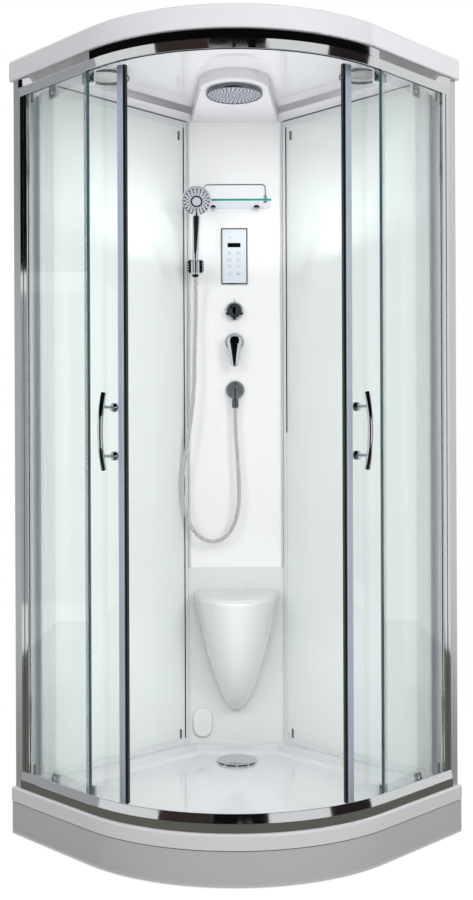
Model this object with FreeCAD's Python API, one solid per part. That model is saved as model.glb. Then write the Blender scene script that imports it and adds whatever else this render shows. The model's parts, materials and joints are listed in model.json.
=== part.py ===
"""Quadrant steam shower cabin, in millimetres.

The room corner is at +Y, the curved front faces -Y and X runs to the right.
The origin is on the floor, under the middle of the cabin's bounding box.
Many places are easier to give from the room corner: p is the distance along the
right-hand back wall and q the distance along the left-hand one, so the right half
of the cabin has p above q and the left half is its mirror image in X.
Rest is the doors slid open behind the fixed panes.
"""
import FreeCAD, Part
import math
import os
from FreeCAD import Vector

# ---------------------------------------------------------------- driving dimensions
# cabin outline
WALL_LENGTH = 900.0          # side of the tray along each back wall
FRONT_RADIUS = 550.0         # radius of the curved front
SOFT_GAP = 0.3               # room between pieces that do not press on each other

# tray
TRAY_TOP = 135.0             # rim height above the floor
TRAY_BAND = 40.0             # height of the tray's own edge band
TRAY_EDGE_ROUND = 6.0
BASIN_DEPTH = 32.0
BASIN_FRONT_RIM = 62.0       # rim width at the front
BASIN_WALL_RIM = 46.0        # rim width along the walls
BASIN_BACK_RIM = 22.0        # rim in front of the seat module
BASIN_ROUND = 14.0

# apron
APRON_THICKNESS = 5.0
APRON_SETBACK = 1.5
APRON_FLOOR_GAP = 3.0
APRON_TOP_GAP = 1.5

# steel frame and feet
FRAME_TUBE = 25.0
FRAME_WALL = 2.0
FRAME_FROM_WALL = 40.0
FRAME_FROM_FRONT = 50.0
CROSS_TUBE_Y = -60.0
FOOT_PAD_RADIUS = 22.0
FOOT_PAD_HEIGHT = 8.0
FOOT_ROD_RADIUS = 6.0
FOOT_NUT_RADIUS = 11.0
FOOT_NUT_HEIGHT = 9.0
FOOT_FROM_FRONT = 70.0
FRONT_FOOT_Y = -385.0

# waste
WASTE_FROM_COLUMN = 109.5    # middle of the waste in front of the column's face
WASTE_HOLE_RADIUS = 45.5
WASTE_FLANGE_RADIUS = 55.0
WASTE_FLANGE = 2.0
TRAP_RADIUS = 44.0
TRAP_WALL = 3.5
TRAP_DEPTH = 87.0
OUTLET_RADIUS = 20.0
OUTLET_WALL = 2.5
OUTLET_HEIGHT = 40.0
OUTLET_LENGTH = 62.0
OUTLET_COLLAR = 6.0
OUTLET_COLLAR_LENGTH = 8.0
COVER_RADIUS = 62.5
COVER_RIM_LIFT = 6.0         # height of the cover's rim above the basin floor
COVER_DOME = 9.0             # rise of its dome
COVER_LIP = 1.5
COVER_LEG_RADIUS = 4.0
COVER_LEG_CIRCLE = 50.0
COVER_LEGS = 3
COVER_STEM_RADIUS = 12.0
COVER_STEM = 36.0

# back walls
WALL_INTO_ROOF = 19.0        # how far the wall pieces stand up behind the roof's rim
PANEL_FACE = 14.0            # distance of the panel's inner face from the room wall
PANEL_THICKNESS = 6.0
PANEL_START = 238.0
PANEL_FROM_FRONT = 50.0
CHANNEL_BACK = 3.0
CHANNEL_FACE = 19.0
CHANNEL_HEIGHT = 22.0
CHANNEL_UPRIGHT = 12.0
CHANNEL_FLOOR = 5.0
CHANNEL_CLEARANCE = 0.3
CLIP_HEIGHT = 28.0
CLIP_WIDTH = 5.0
CLIP_DEPTH = 4.5
CLIP_FROM_CHANNEL = 16.0
CLIP_FROM_START = 32.0
CLIP_FROM_END = 20.0
CLIP_LIFT = 2.0

# column across the corner
COLUMN_DEPTH = 170.0         # distance of its face from the corner, on the diagonal
COLUMN_HALF_WIDTH = 151.5
SHELL_THICKNESS = 5.0
COLUMN_FLANGE = 36.0
COLUMN_BOTTOM = 704.0
TRIM_WIDTH = 8.0
TRIM_BACK = 8.0
TRIM_FACE = 20.0
UPRIGHT_X = 80.0
UPRIGHT_SIZE = 20.0
CROSSBAR_HEIGHT = 30.0
CROSSBAR_THICKNESS = 4.0
CROSSBAR_BELOW_MIXER = 78.0
CROSSBAR_ABOVE_MIXER = 52.0

# seat module
MODULE_HALF_WIDTH = 157.0
MODULE_PROUD = 2.5           # how far its face stands in front of the column's
SEAT_TOP = 631.0
SEAT_HALF_WIDTH = 138.0
SEAT_REACH = 280.0
SEAT_TIP = 240.0
SEAT_SHELL = 6.0
SEAT_EDGE_ROUND = 14.0
SEAT_SECTIONS = 7
STEAM_CAP_X = -110.0
STEAM_CAP_Z = 204.0
STEAM_CAP_WIDTH = 61.0
STEAM_CAP_HEIGHT = 94.0
STEAM_CAP_THICKNESS = 12.0
STEAM_SLOT_WIDTH = 34.0
STEAM_SLOT_HEIGHT = 7.0

# posts and glazing strips
POST_SETBACK = 14.0          # from the end of the wall side
POST_WIDTH = 34.0
POST_WALL = 2.5
STRIP_SETBACK = 12.0
STRIP_DEPTH = 15.0
STRIP_FIRST_END = 48.0
STRIP_SECOND_START = 50.5
STRIP_SECOND_END = 66.0

# rails, set back from the tray's curved front
RAIL_SETBACK = 7.0
RAIL_HEIGHT = 47.0
RAIL_UPRIGHT_PART = 24.0
RAIL_LIP_SETBACK = 6.5       # of the leaning part's edge behind the rail's face
RAIL_WALL = 3.0
SLOT_CLEARANCE = 0.3
LEDGE_REACH = 37.0           # of the header's ledge behind the rail's face
LEDGE_DROP = 25.0
SILL_REACH = 43.0            # of the sill behind the rail's face
SILL_INNER_LIP = 35.0

# fixed panes
GLASS_THICKNESS = 6.0
PANE_SETBACK = 9.5           # behind the rail's face
PANE_START = 36.0
PANE_FROM_BEND = 14.0
PANE_REBATE = 5.0
PANE_SEAL_LENGTH = 12.0
PANE_SEAL_THICKNESS = 1.4

# roof
ROOF_RIM_BOTTOM = 2127.0
ROOF_HEIGHT = 63.0
ROOF_SKIN = 8.0
ROOF_RIM_WIDTH = 32.0
ROOF_SHOULDER = 14.0
ROOF_BEAD = 4.0
COVE_RADIUS = 34.0
CAVITY_WALL_INSET = 22.0
BOSS_HALF_WIDTH = 143.0
BOSS_HEAD_RADIUS = 104.0
BOSS_ROUND = 9.0
PIPE_HOLE_CLEARANCE = 1.0
ROOF_CORNER_ROOM = 300.0     # open corner over the column, along each wall

# overhead rain head
RAIN_HEAD_FROM_COLUMN = 314.5
RAIN_HEAD_RADIUS = 84.0
RAIN_HEAD_THICKNESS = 14.0
RAIN_FACE_RADIUS = 77.0
RAIN_FACE_RECESS = 2.5

# ceiling light and extractor fan, from the room corner
FIXTURE_P = 644.0
FIXTURE_Q = 118.0
FIXTURE_RADIUS = 66.0
FIXTURE_RING = 11.0
FIXTURE_DROP = 12.0
LENS_DROP = 9.0
FAN_HOLE_RADIUS = 46.0
FAN_CASE_HEIGHT = 26.0
FAN_CASE_RADIUS = 58.0
FAN_CASE_WALL = 3.0
FAN_BLADES = 6
FAN_BLADE_RADIUS = 42.0
FAN_BLADE_HEIGHT = 12.0
FAN_BLADE_THICKNESS = 2.0
FAN_BLADE_PITCH = 30.0
FAN_BLADE_ROOT = 2.0
FAN_HUB_RADIUS = 13.0
FAN_ROTOR_DROP = 1.0
FAN_MOTOR_RADIUS = 15.0
FAN_MOTOR_HEIGHT = 10.0
FAN_SHAFT_RADIUS = 2.5
RUNNING_FIT = 0.05
GRILLE_BARS = 4
GRILLE_BAR = 6.0
GRILLE_GAP = 9.0

# control panel
PANEL_X = -2.0
CONTROL_ABOVE_DIVERTER = 86.0
CONTROL_HEIGHT = 182.0
CONTROL_WIDTH = 86.0
CONTROL_BORDER = 4.0
BEZEL_DEPTH = 7.0
CONTROL_FACE_DEPTH = 5.0
CONTROL_BOX_DEPTH = 34.0
CONTROL_BOX_MARGIN = 9.0

# valves and hose outlet
VALVE_X = -2.5
DIVERTER_Z = 1534.0
MIXER_DROP = 101.0           # below the diverter
HOSE_OUTLET_X = -1.0
HOSE_OUTLET_DROP = 155.0     # below the mixing valve
ROSETTE_RADIUS = 30.0
ROSETTE_DEPTH = 6.0
KNOB_RADIUS = 28.0
KNOB_DEPTH = 34.0
KNOB_ROUND = 9.0
SPINDLE_RADIUS = 6.0
SPINDLE_IN_KNOB = 14.0
CAP_RADIUS = 26.0
CAP_DEPTH = 28.0
CAP_ROUND = 3.0
CAP_SLOT_HALF = 7.0
CAP_SLOT_DEPTH = 15.0
LEVER_PIN_RADIUS = 2.5
LEVER_PIN_HALF = 18.0
LEVER_PIN_RISE = 12.0
LEVER_PIN_BEHIND = 5.0
LEVER_EYE_RADIUS = 6.0
LEVER_TONGUE_HALF = 6.0
LEVER_TONGUE_HEIGHT = 9.0
LEVER_GAP = 9.0
LEVER_THICKNESS = 9.0
LEVER_HEAD_RADIUS = 25.0
LEVER_TIP_RADIUS = 13.0
LEVER_LENGTH = 71.0
OUTLET_DOME_RADIUS = 29.0
OUTLET_DOME_DEPTH = 26.0
OUTLET_NECK_RADIUS = 11.0
OUTLET_NUT_RADIUS = 10.0
OUTLET_NECK_DROP = 32.0
OUTLET_NUT_LENGTH = 28.0
OUTLET_REACH = 30.0

# valve block, pipes and steam generator
BLOCK_HALF_WIDTH = 32.0
BLOCK_DEPTH = 28.0
BLOCK_END = 28.0             # past the highest and lowest valve
INLET_RADIUS = 10.5
INLET_LENGTH = 22.0
INLET_X = 20.0
INLET_BELOW_MIXER = 28.0
PIPE_RADIUS = 7.5
PIPE_BEHIND_FACE = 33.5
ROOF_PIPE_RISE = 12.0
FEED_PIPE_X = 18.0
GENERATOR_HALF_WIDTH = 62.0
GENERATOR_BEHIND_FACE = 19.5
GENERATOR_DEPTH = 78.0
GENERATOR_TOP = 470.0
STEAM_PIPE_RADIUS = 9.0
STEAM_PIPE_BEHIND_FACE = 39.5
STEAM_PIPE_BEND = 18.0

# glass shelf
SHELF_Z = 1864.0
SHELF_THICKNESS = 6.0
SHELF_HALF_WIDTH = 114.5
SHELF_DEPTH = 127.0
SHELF_CORNER = 34.0
SHELF_RAIL_RISE = 47.0
SHELF_RAIL_HALF = 96.0
SHELF_RAIL_RADIUS = 2.5
SHELF_RAIL_BEND = 12.0
SHELF_RAIL_FROM_EDGE = 12.0
SHELF_CLAMP_RADIUS = 6.0
SHELF_CLAMP_HEIGHT = 16.0
SHELF_SUPPORT_X = 70.0
SHELF_SUPPORT_RADIUS = 10.0
SHELF_SUPPORT_LENGTH = 30.0

# hand shower and its holder
HOLDER_X = -126.0
HOLDER_Z = 1668.5
HOLDER_FROM_COLUMN = 76.5
HANDSET_TILT = 20.0
HOLDER_PIVOT_BACK = 30.0
HOLDER_ROSETTE_RADIUS = 20.0
HOLDER_ROSETTE_DEPTH = 7.0
HOLDER_ARM_RADIUS = 8.0
HOLDER_BARREL_RADIUS = 9.0
HOLDER_BARREL_HALF = 9.0
HOLDER_PIN_RADIUS = 3.0
HOLDER_PIN_HALF = 16.5
CRADLE_RADIUS = 18.0
CRADLE_HALF_HEIGHT = 18.0
CRADLE_BORE_BOTTOM = 11.0
CRADLE_BORE_TOP = 12.6
CRADLE_SLOT_HALF = 8.0
CHEEK_THICKNESS = 4.0
CHEEK_GAP = 0.5
CHEEK_RADIUS = 9.0
EAR_REACH = 25.0
EAR_HALF_HEIGHT = 20.0
EAR_DEPTH = 11.0
HANDLE_CLEARANCE = 0.25
HANDSET_BOTTOM = -34.0
HANDLE_TOP_Z = 160.0
HANDLE_TOP_RADIUS = 13.0
HANDLE_LOW_RADIUS = 10.2
HEAD_CENTRE = 206.0
HEAD_TILT = 12.0
HEAD_RADIUS = 46.0
HEAD_FRONT = -12.0
HEAD_DEPTH = 15.0
HEAD_BACK_DOME = 12.0
HEAD_BACK_RADIUS = 24.0
HOSE_NUT_RADIUS = 9.0

# shower hose: its route from the outlet nut to the nut under the handset
HOSE_RADIUS = 6.5
HOSE_POINTS = (
    (-1.0, 322.5, 1218.0),
    (-1.0, 322.5, 1156.0),
    (4.5, 320.0, 1078.0),
    (9.0, 317.0, 996.0),
    (11.0, 315.0, 920.0),
    (0.0, 313.5, 855.0),
    (-28.0, 312.0, 806.0),
    (-72.0, 310.0, 787.0),
    (-116.0, 308.0, 802.0),
    (-148.0, 306.5, 842.0),
    (-167.0, 305.0, 905.0),
    (-173.0, 303.5, 985.0),
    (-158.0, 302.0, 1080.0),
    (-142.0, 301.0, 1185.0),
    (-131.5, 301.5, 1290.0),
    (-131.0, 304.0, 1395.0),
    (-127.0, 309.0, 1490.0),
)
HOSE_LAST_RUN = 73.0         # straight run into the nut, in line with the handset

# doors, with angles about the bend's centre from the right-hand junction
DOOR_SETBACK = 45.5          # middle of the glass behind the rail's face
DOOR_LEAD_ANGLE = 45.0       # where the two doors meet
DOOR_REAR_ANGLE = -1.6
DOOR_MEETING_GAP = 0.3
DOOR_OPEN_FROM_WALL = 217.0  # open door's middle, measured from the wall
DOOR_INTO_HEADER = 15.0
DOOR_INTO_SILL = 24.0
MAGNET_LENGTH = 7.0
MAGNET_THICKNESS = 12.0
SEAL_LENGTH = 10.0
SEAL_OVERLAP = 8.0
SEAL_THICKNESS = 10.0
TRACK_SETBACK = 25.0         # middle of the wheels behind the rail's face
ROLLER_HALF_ANGLE = 9.1
WHEEL_RADIUS = 10.0
WHEEL_WIDTH = 7.0
WHEEL_GAP = 0.2
AXLE_RADIUS = 3.0
AXLE_HEAD_RADIUS = 5.0
AXLE_HEAD = 2.5
CARRIER_THICKNESS = 8.0
CARRIER_HALF_WIDTH = 20.0
CARRIER_HEADROOM = 7.5
CARRIER_OVERLAP = 34.0
CARRIER_BOLT_RADIUS = 4.0
CARRIER_CAP_RADIUS = 9.0
CARRIER_CAP = 3.0
FACE_GAP = 0.1
GUIDE_HALF_WIDTH = 13.0
GUIDE_THICKNESS = 10.0
GUIDE_LIFT = 7.0             # of the guides above the tray's rim
GUIDE_HEIGHT = 46.0
GUIDE_FOOT_REACH = 32.0      # behind the rail's face
GUIDE_FOOT_HEIGHT = 12.0

# door handles
GRIP_FROM_EDGE = 42.0
GRIP_Z = 1133.0
GRIP_HALF_LENGTH = 100.0
GRIP_MIDDLE_REACH = 61.0
GRIP_BOW = 16.0
GRIP_RADIUS = 7.5
GRIP_STAND_HALF = 64.0
GRIP_STAND_RADIUS = 4.5
GRIP_BASE_RADIUS = 12.0
GRIP_BASE_DEPTH = 9.0
GRIP_KNOB_RADIUS = 12.5
GRIP_KNOB_DEPTH = 12.0
GRIP_BOLT_RADIUS = 3.5

# ---------------------------------------------------------------- worked-out places
ROOT2 = math.sqrt(2.0)
BEND = WALL_LENGTH - FRONT_RADIUS
CORNER_Y = (BEND * ROOT2 + FRONT_RADIUS) / 2.0
UP = Vector(0, 0, 1)
BACK = Vector(0, 1, 0)
FRONT = Vector(0, -1, 0)
RIGHT = Vector(1, 0, 0)
TRAY_BOTTOM = TRAY_TOP - TRAY_BAND
BASIN_FLOOR = TRAY_TOP - BASIN_DEPTH
COLUMN_FACE = CORNER_Y - COLUMN_DEPTH
COLUMN_REAR = COLUMN_FACE + SHELL_THICKNESS
MODULE_FACE = COLUMN_FACE - MODULE_PROUD
WASTE_Y = COLUMN_FACE - WASTE_FROM_COLUMN
RAIN_HEAD_Y = COLUMN_FACE - RAIN_HEAD_FROM_COLUMN
HOLDER_AXIS_Y = COLUMN_FACE - HOLDER_FROM_COLUMN
PIPE_Y = COLUMN_FACE + PIPE_BEHIND_FACE
STEAM_PIPE_Y = COLUMN_FACE + STEAM_PIPE_BEHIND_FACE
GENERATOR_FRONT = COLUMN_FACE + GENERATOR_BEHIND_FACE
GENERATOR_BACK = GENERATOR_FRONT + GENERATOR_DEPTH
MIXER_Z = DIVERTER_Z - MIXER_DROP
HOSE_OUTLET_Z = MIXER_Z - HOSE_OUTLET_DROP
CONTROL_BOTTOM = DIVERTER_Z + CONTROL_ABOVE_DIVERTER
CROSSBAR_LEVELS = (MIXER_Z - CROSSBAR_BELOW_MIXER, MIXER_Z + CROSSBAR_ABOVE_MIXER)
OUTLET_NUT_TOP = HOSE_OUTLET_Z - OUTLET_NECK_DROP
OUTLET_NUT_BOTTOM = OUTLET_NUT_TOP - OUTLET_NUT_LENGTH
BLOCK_BOTTOM = HOSE_OUTLET_Z - BLOCK_END
BLOCK_TOP = DIVERTER_Z + BLOCK_END
INLET_Z = MIXER_Z - INLET_BELOW_MIXER
PANE_END = BEND - PANE_FROM_BEND
ROOF_TOP = ROOF_RIM_BOTTOM + ROOF_HEIGHT
WALL_TOP = ROOF_RIM_BOTTOM + WALL_INTO_ROOF
CEILING = ROOF_TOP - ROOF_SKIN
FAN_TOP = ROOF_TOP + FAN_CASE_HEIGHT
FAN_ROTOR_BOTTOM = CEILING - FAN_ROTOR_DROP
COVER_RIM = BASIN_FLOOR + COVER_RIM_LIFT
COVER_TOP = COVER_RIM + COVER_DOME
PANEL_END = WALL_LENGTH - PANEL_FROM_FRONT
FRAME_END = WALL_LENGTH - FRAME_FROM_FRONT
FOOT_END = WALL_LENGTH - FOOT_FROM_FRONT
POST_FACE = WALL_LENGTH - POST_SETBACK
STRIP_FACE = WALL_LENGTH - STRIP_SETBACK
RAIL_FACE = FRONT_RADIUS - RAIL_SETBACK
RAIL_LIP_FACE = RAIL_FACE - RAIL_LIP_SETBACK
LEDGE_EDGE = RAIL_FACE - LEDGE_REACH
SILL_EDGE = RAIL_FACE - SILL_REACH
PANE_FACE = RAIL_FACE - PANE_SETBACK
DOOR_RADIUS = RAIL_FACE - DOOR_SETBACK
TRACK_RADIUS = RAIL_FACE - TRACK_SETBACK
GUIDE_BOTTOM = TRAY_TOP + GUIDE_LIFT
GUIDE_TOP = GUIDE_BOTTOM + GUIDE_HEIGHT
GUIDE_FOOT_EDGE = RAIL_FACE - GUIDE_FOOT_REACH
GUIDE_FOOT_TOP = GUIDE_BOTTOM + GUIDE_FOOT_HEIGHT
SILL_TOP = TRAY_TOP + RAIL_HEIGHT
HEADER_BOTTOM = ROOF_RIM_BOTTOM - RAIL_HEIGHT
LEDGE_TOP = ROOF_RIM_BOTTOM - LEDGE_DROP
DOOR_TOP = HEADER_BOTTOM + DOOR_INTO_HEADER
DOOR_BOTTOM = SILL_TOP - DOOR_INTO_SILL
CARRIER_TOP = ROOF_RIM_BOTTOM - CARRIER_HEADROOM
WHEEL_Z = LEDGE_TOP + WHEEL_GAP + WHEEL_RADIUS
PANE_BACK = PANE_FACE - GLASS_THICKNESS
SLOT_OUTER = PANE_FACE + SLOT_CLEARANCE
SLOT_INNER = PANE_BACK - SLOT_CLEARANCE
SLOT_LIP = SLOT_INNER - RAIL_WALL
DOOR_FACE = DOOR_RADIUS + GLASS_THICKNESS / 2.0
DOOR_BACK = DOOR_RADIUS - GLASS_THICKNESS / 2.0


def plan(p, q, z=0.0):
    """Point given by its distances along the right and left back walls."""
    return Vector((p - q) / ROOT2, CORNER_Y - (p + q) / ROOT2, z)


def polar(radius, angle, z=0.0):
    """Point about the bend's centre; angle in degrees from the right junction."""
    turn = math.radians(angle)
    return plan(BEND + radius * math.cos(turn), BEND + radius * math.sin(turn), z)


def outward(angle):
    """Unit vector away from the bend's centre at this angle."""
    return (polar(1.0, angle) - polar(0.0, angle)).normalize()


def arc_degrees(length):
    """Angle that a length along the door glass takes."""
    return math.degrees(length / DOOR_RADIUS)


def mirrored(shape):
    return shape.mirror(Vector(0, 0, 0), RIGHT)


def both_sides(shape):
    return [shape, mirrored(shape)]


def box(x0, x1, y0, y1, z0, z1):
    return Part.makeBox(x1 - x0, y1 - y0, z1 - z0, Vector(x0, y0, z0))


def rod(start, end, radius):
    along = end - start
    return Part.makeCylinder(radius, along.Length, start, along)


def cone(start, end, radius_start, radius_end):
    along = end - start
    return Part.makeCone(radius_start, radius_end, along.Length, start, along)


def prism(points, height):
    wire = Part.makePolygon(points + [points[0]])
    return Part.Face(wire).extrude(Vector(0, 0, height))


def wall_box(p0, p1, q0, q1, z0, z1):
    """Upright block on the right-hand back wall, in distances from the corner."""
    corners = [plan(p0, q0, z0), plan(p1, q0, z0), plan(p1, q1, z0), plan(p0, q1, z0)]
    return prism(corners, z1 - z0)


def slab(front_inset, wall_inset, z0, z1):
    """Quadrant plate, set in from the tray's outline at the front and the walls."""
    far = WALL_LENGTH - front_inset
    start = plan(wall_inset, wall_inset, z0)
    right_end = plan(far, wall_inset, z0)
    right_bend = plan(far, BEND, z0)
    apex = polar(FRONT_RADIUS - front_inset, 45.0, z0)
    left_bend = plan(BEND, far, z0)
    left_end = plan(wall_inset, far, z0)
    edges = [
        Part.LineSegment(start, right_end).toShape(),
        Part.LineSegment(right_end, right_bend).toShape(),
        Part.Arc(right_bend, apex, left_bend).toShape(),
        Part.LineSegment(left_bend, left_end).toShape(),
        Part.LineSegment(left_end, start).toShape(),
    ]
    return Part.Face(Part.Wire(edges)).extrude(Vector(0, 0, z1 - z0))


def along_front(profile, wall_start):
    """Run a closed profile of (radius, z) points along both sides and the curve."""
    ring = profile + [profile[0]]
    right_wire = Part.makePolygon([plan(BEND + r, BEND, z) for r, z in ring])
    right_face = Part.Face(right_wire)
    to_wall = plan(BEND, wall_start) - plan(BEND, BEND)
    right_run = right_face.extrude(to_wall)
    curve = right_face.revolve(polar(0.0, 0.0), Vector(0, 0, -1), 90.0)
    return right_run.multiFuse([curve, mirrored(right_run)]).removeSplitter()


def arc_block(r0, r1, a0, a1, z0, z1):
    """Block between two radii and two angles about the bend's centre."""
    middle = (a0 + a1) / 2.0
    inner = Part.Arc(polar(r0, a0, z0), polar(r0, middle, z0), polar(r0, a1, z0)).toShape()
    outer = Part.Arc(polar(r1, a0, z0), polar(r1, middle, z0), polar(r1, a1, z0)).toShape()
    start = Part.LineSegment(polar(r0, a0, z0), polar(r1, a0, z0)).toShape()
    end = Part.LineSegment(polar(r0, a1, z0), polar(r1, a1, z0)).toShape()
    wire = Part.Wire(Part.__sortEdges__([inner, end, outer, start]))
    return Part.Face(wire).extrude(Vector(0, 0, z1 - z0))


def fused(shapes):
    return shapes[0].multiFuse(shapes[1:]).removeSplitter()


def edges_at(shape, z, chosen=lambda centre: True):
    """Edges that lie level at height z and whose middle is chosen."""
    found = []
    for edge in shape.Edges:
        bound = edge.BoundBox
        level = abs(bound.ZMin - z) < 0.01 and abs(bound.ZMax - z) < 0.01
        if level and chosen(edge.CenterOfMass):
            found.append(edge)
    return found


def corner_radii(points):
    """Arc radius at each inner point of a route: as large as its two runs allow."""
    radii = []
    for before, here, after in zip(points, points[1:], points[2:]):
        first = here - before
        second = after - here
        half_turn = first.getAngle(second) / 2.0
        radii.append(0.45 * min(first.Length, second.Length) / math.tan(half_turn))
    return radii


def tube(points, radius, radii):
    """Round tube along straight runs joined by tangent arcs of the given radii."""
    edges = []
    start = points[0]
    for before, here, after, bend in zip(points, points[1:], points[2:], radii):
        toward = (here - before).normalize()
        away = (after - here).normalize()
        half_turn = toward.getAngle(away) / 2.0
        reach = bend * math.tan(half_turn)
        enter = here - toward * reach
        leave = here + away * reach
        inside = (away - toward).normalize()
        centre = here + inside * (bend / math.cos(half_turn))
        middle = centre - inside * bend
        edges.append(Part.LineSegment(start, enter).toShape())
        edges.append(Part.Arc(enter, middle, leave).toShape())
        start = leave
    edges.append(Part.LineSegment(start, points[-1]).toShape())
    path = Part.Wire(edges)
    ring = Part.Wire(Part.Circle(points[0], points[1] - points[0], radius).toShape())
    return path.makePipeShell([ring], True, True), path.Length


# ---------------------------------------------------------------- base
def make_tray():
    body = slab(0.0, 0.0, TRAY_BOTTOM, TRAY_TOP)
    front_edge = CORNER_Y - (WALL_LENGTH + 1.0) / ROOT2
    rim = edges_at(body, TRAY_TOP, lambda c: c.y < front_edge)
    body = body.makeFillet(TRAY_EDGE_ROUND, rim)
    basin = slab(BASIN_FRONT_RIM, BASIN_WALL_RIM, BASIN_FLOOR, TRAY_TOP + BASIN_DEPTH)
    back_line = MODULE_FACE - BASIN_BACK_RIM
    keep = box(-WALL_LENGTH, WALL_LENGTH, -WALL_LENGTH, back_line, 0.0, WALL_LENGTH)
    basin = basin.common(keep)
    basin = basin.makeFillet(BASIN_ROUND, edges_at(basin, BASIN_FLOOR))
    hole = Part.makeCylinder(WASTE_HOLE_RADIUS, TRAY_TOP, Vector(0, WASTE_Y, 0))
    return body.cut(basin).cut(hole)


def make_apron():
    top = TRAY_BOTTOM - APRON_TOP_GAP
    outer = slab(APRON_SETBACK, 0.0, APRON_FLOOR_GAP, top)
    behind = slab(APRON_SETBACK + APRON_THICKNESS, -APRON_THICKNESS, 0.0, top + APRON_THICKNESS)
    return outer.cut(behind)


def make_tray_frame():
    low = TRAY_BOTTOM - FRAME_TUBE
    far_side = FRAME_FROM_WALL + FRAME_TUBE
    right_bar = wall_box(FRAME_FROM_WALL, FRAME_END, FRAME_FROM_WALL, far_side, low, TRAY_BOTTOM)
    right_core = wall_box(0.0, WALL_LENGTH, FRAME_FROM_WALL + FRAME_WALL, far_side - FRAME_WALL,
                          low + FRAME_WALL, TRAY_BOTTOM - FRAME_WALL)
    left_bar = mirrored(right_bar).cut(right_bar)
    reach = CORNER_Y - CROSS_TUBE_Y - ROOT2 * (FRAME_FROM_WALL + FRAME_WALL)
    half = FRAME_TUBE / 2.0
    cross = box(-reach, reach, CROSS_TUBE_Y - half, CROSS_TUBE_Y + half, low, TRAY_BOTTOM)
    cross = cross.cut(right_bar).cut(left_bar)
    cross = max(cross.Solids, key=lambda solid: solid.Volume)
    cross_core = box(-reach, reach, CROSS_TUBE_Y - half + FRAME_WALL, CROSS_TUBE_Y + half - FRAME_WALL,
                     low + FRAME_WALL, TRAY_BOTTOM - FRAME_WALL)
    apron_back = -(FRONT_RADIUS - APRON_SETBACK - APRON_THICKNESS) + CORNER_Y - BEND * ROOT2
    front_end = apron_back + SOFT_GAP
    spine = box(-half, half, front_end, CROSS_TUBE_Y - half, low, TRAY_BOTTOM)
    spine_core = box(-half + FRAME_WALL, half - FRAME_WALL, front_end, CROSS_TUBE_Y - half,
                     low + FRAME_WALL, TRAY_BOTTOM - FRAME_WALL)
    bars = [
        right_bar.cut(right_core),
        left_bar.cut(mirrored(right_core)),
        cross.cut(cross_core),
        spine.cut(spine_core),
    ]
    return Part.makeCompound(bars)


def make_levelling_feet():
    in_wall = FRAME_FROM_WALL + FRAME_TUBE / 2.0
    places = [
        plan(in_wall, in_wall),
        plan(FOOT_END, in_wall),
        plan(in_wall, FOOT_END),
        Vector(0, FRONT_FOOT_Y, 0),
    ]
    top = TRAY_BOTTOM - FRAME_TUBE
    feet = []
    for place in places:
        pad = Part.makeCylinder(FOOT_PAD_RADIUS, FOOT_PAD_HEIGHT, place)
        stem = Part.makeCylinder(FOOT_ROD_RADIUS, top, place)
        nut = Part.makeCylinder(FOOT_NUT_RADIUS, FOOT_NUT_HEIGHT,
                                place + UP * (top - FOOT_NUT_HEIGHT))
        feet.append(fused([pad, stem, nut]))
    return Part.makeCompound(feet)


def make_waste_trap():
    centre = Vector(0, WASTE_Y, 0)
    low = BASIN_FLOOR - TRAP_DEPTH
    flange = Part.makeCylinder(WASTE_FLANGE_RADIUS, WASTE_FLANGE, centre + UP * BASIN_FLOOR)
    cup = Part.makeCylinder(TRAP_RADIUS, TRAP_DEPTH, centre + UP * low)
    pipe_start = centre + UP * OUTLET_HEIGHT
    to_wall = plan(0.0, -1.0) - plan(0.0, 0.0)
    pipe_end = pipe_start + to_wall * (TRAP_RADIUS + OUTLET_LENGTH)
    pipe = rod(pipe_start, pipe_end, OUTLET_RADIUS)
    collar = rod(pipe_start, pipe_start + to_wall * (TRAP_RADIUS + OUTLET_COLLAR_LENGTH),
                 OUTLET_RADIUS + OUTLET_COLLAR)
    body = fused([flange, cup, pipe, collar])
    hollow = Part.makeCylinder(TRAP_RADIUS - TRAP_WALL, TRAP_DEPTH, centre + UP * (low + TRAP_WALL))
    bore = rod(pipe_start, pipe_end + to_wall, OUTLET_RADIUS - OUTLET_WALL)
    return body.cut(hollow).cut(bore)


def make_waste_cover():
    rest = BASIN_FLOOR + WASTE_FLANGE + SOFT_GAP
    rise = COVER_TOP - COVER_RIM - COVER_LIP
    dome_radius = (COVER_RADIUS ** 2 + rise ** 2) / (2.0 * rise)
    dome = Part.makeSphere(dome_radius, Vector(0, 0, COVER_TOP - dome_radius))
    cap = Part.makeCylinder(COVER_RADIUS, COVER_TOP, Vector(0, 0, COVER_RIM)).common(dome)
    stem = Part.makeCylinder(COVER_STEM_RADIUS, COVER_STEM, Vector(0, 0, COVER_RIM - COVER_STEM))
    pieces = [cap, stem]
    for count in range(COVER_LEGS):
        turn = math.radians(-90.0 + 360.0 * count / COVER_LEGS)
        foot = Vector(COVER_LEG_CIRCLE * math.cos(turn), COVER_LEG_CIRCLE * math.sin(turn), rest)
        pieces.append(Part.makeCylinder(COVER_LEG_RADIUS, COVER_RIM + COVER_LIP - rest, foot))
    cover = fused(pieces)
    cover.translate(Vector(0, WASTE_Y, 0))
    return cover


# ---------------------------------------------------------------- back walls
def panel_glass(clearance):
    """Right-hand wall panel; clearance makes it a cutter for its channels."""
    low = TRAY_TOP + CHANNEL_FLOOR - clearance
    return wall_box(PANEL_START + CHANNEL_FLOOR - clearance, PANEL_END - CHANNEL_FLOOR + clearance,
                    PANEL_FACE - PANEL_THICKNESS - clearance, PANEL_FACE + clearance,
                    low, WALL_TOP - CHANNEL_FLOOR + clearance)


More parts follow.
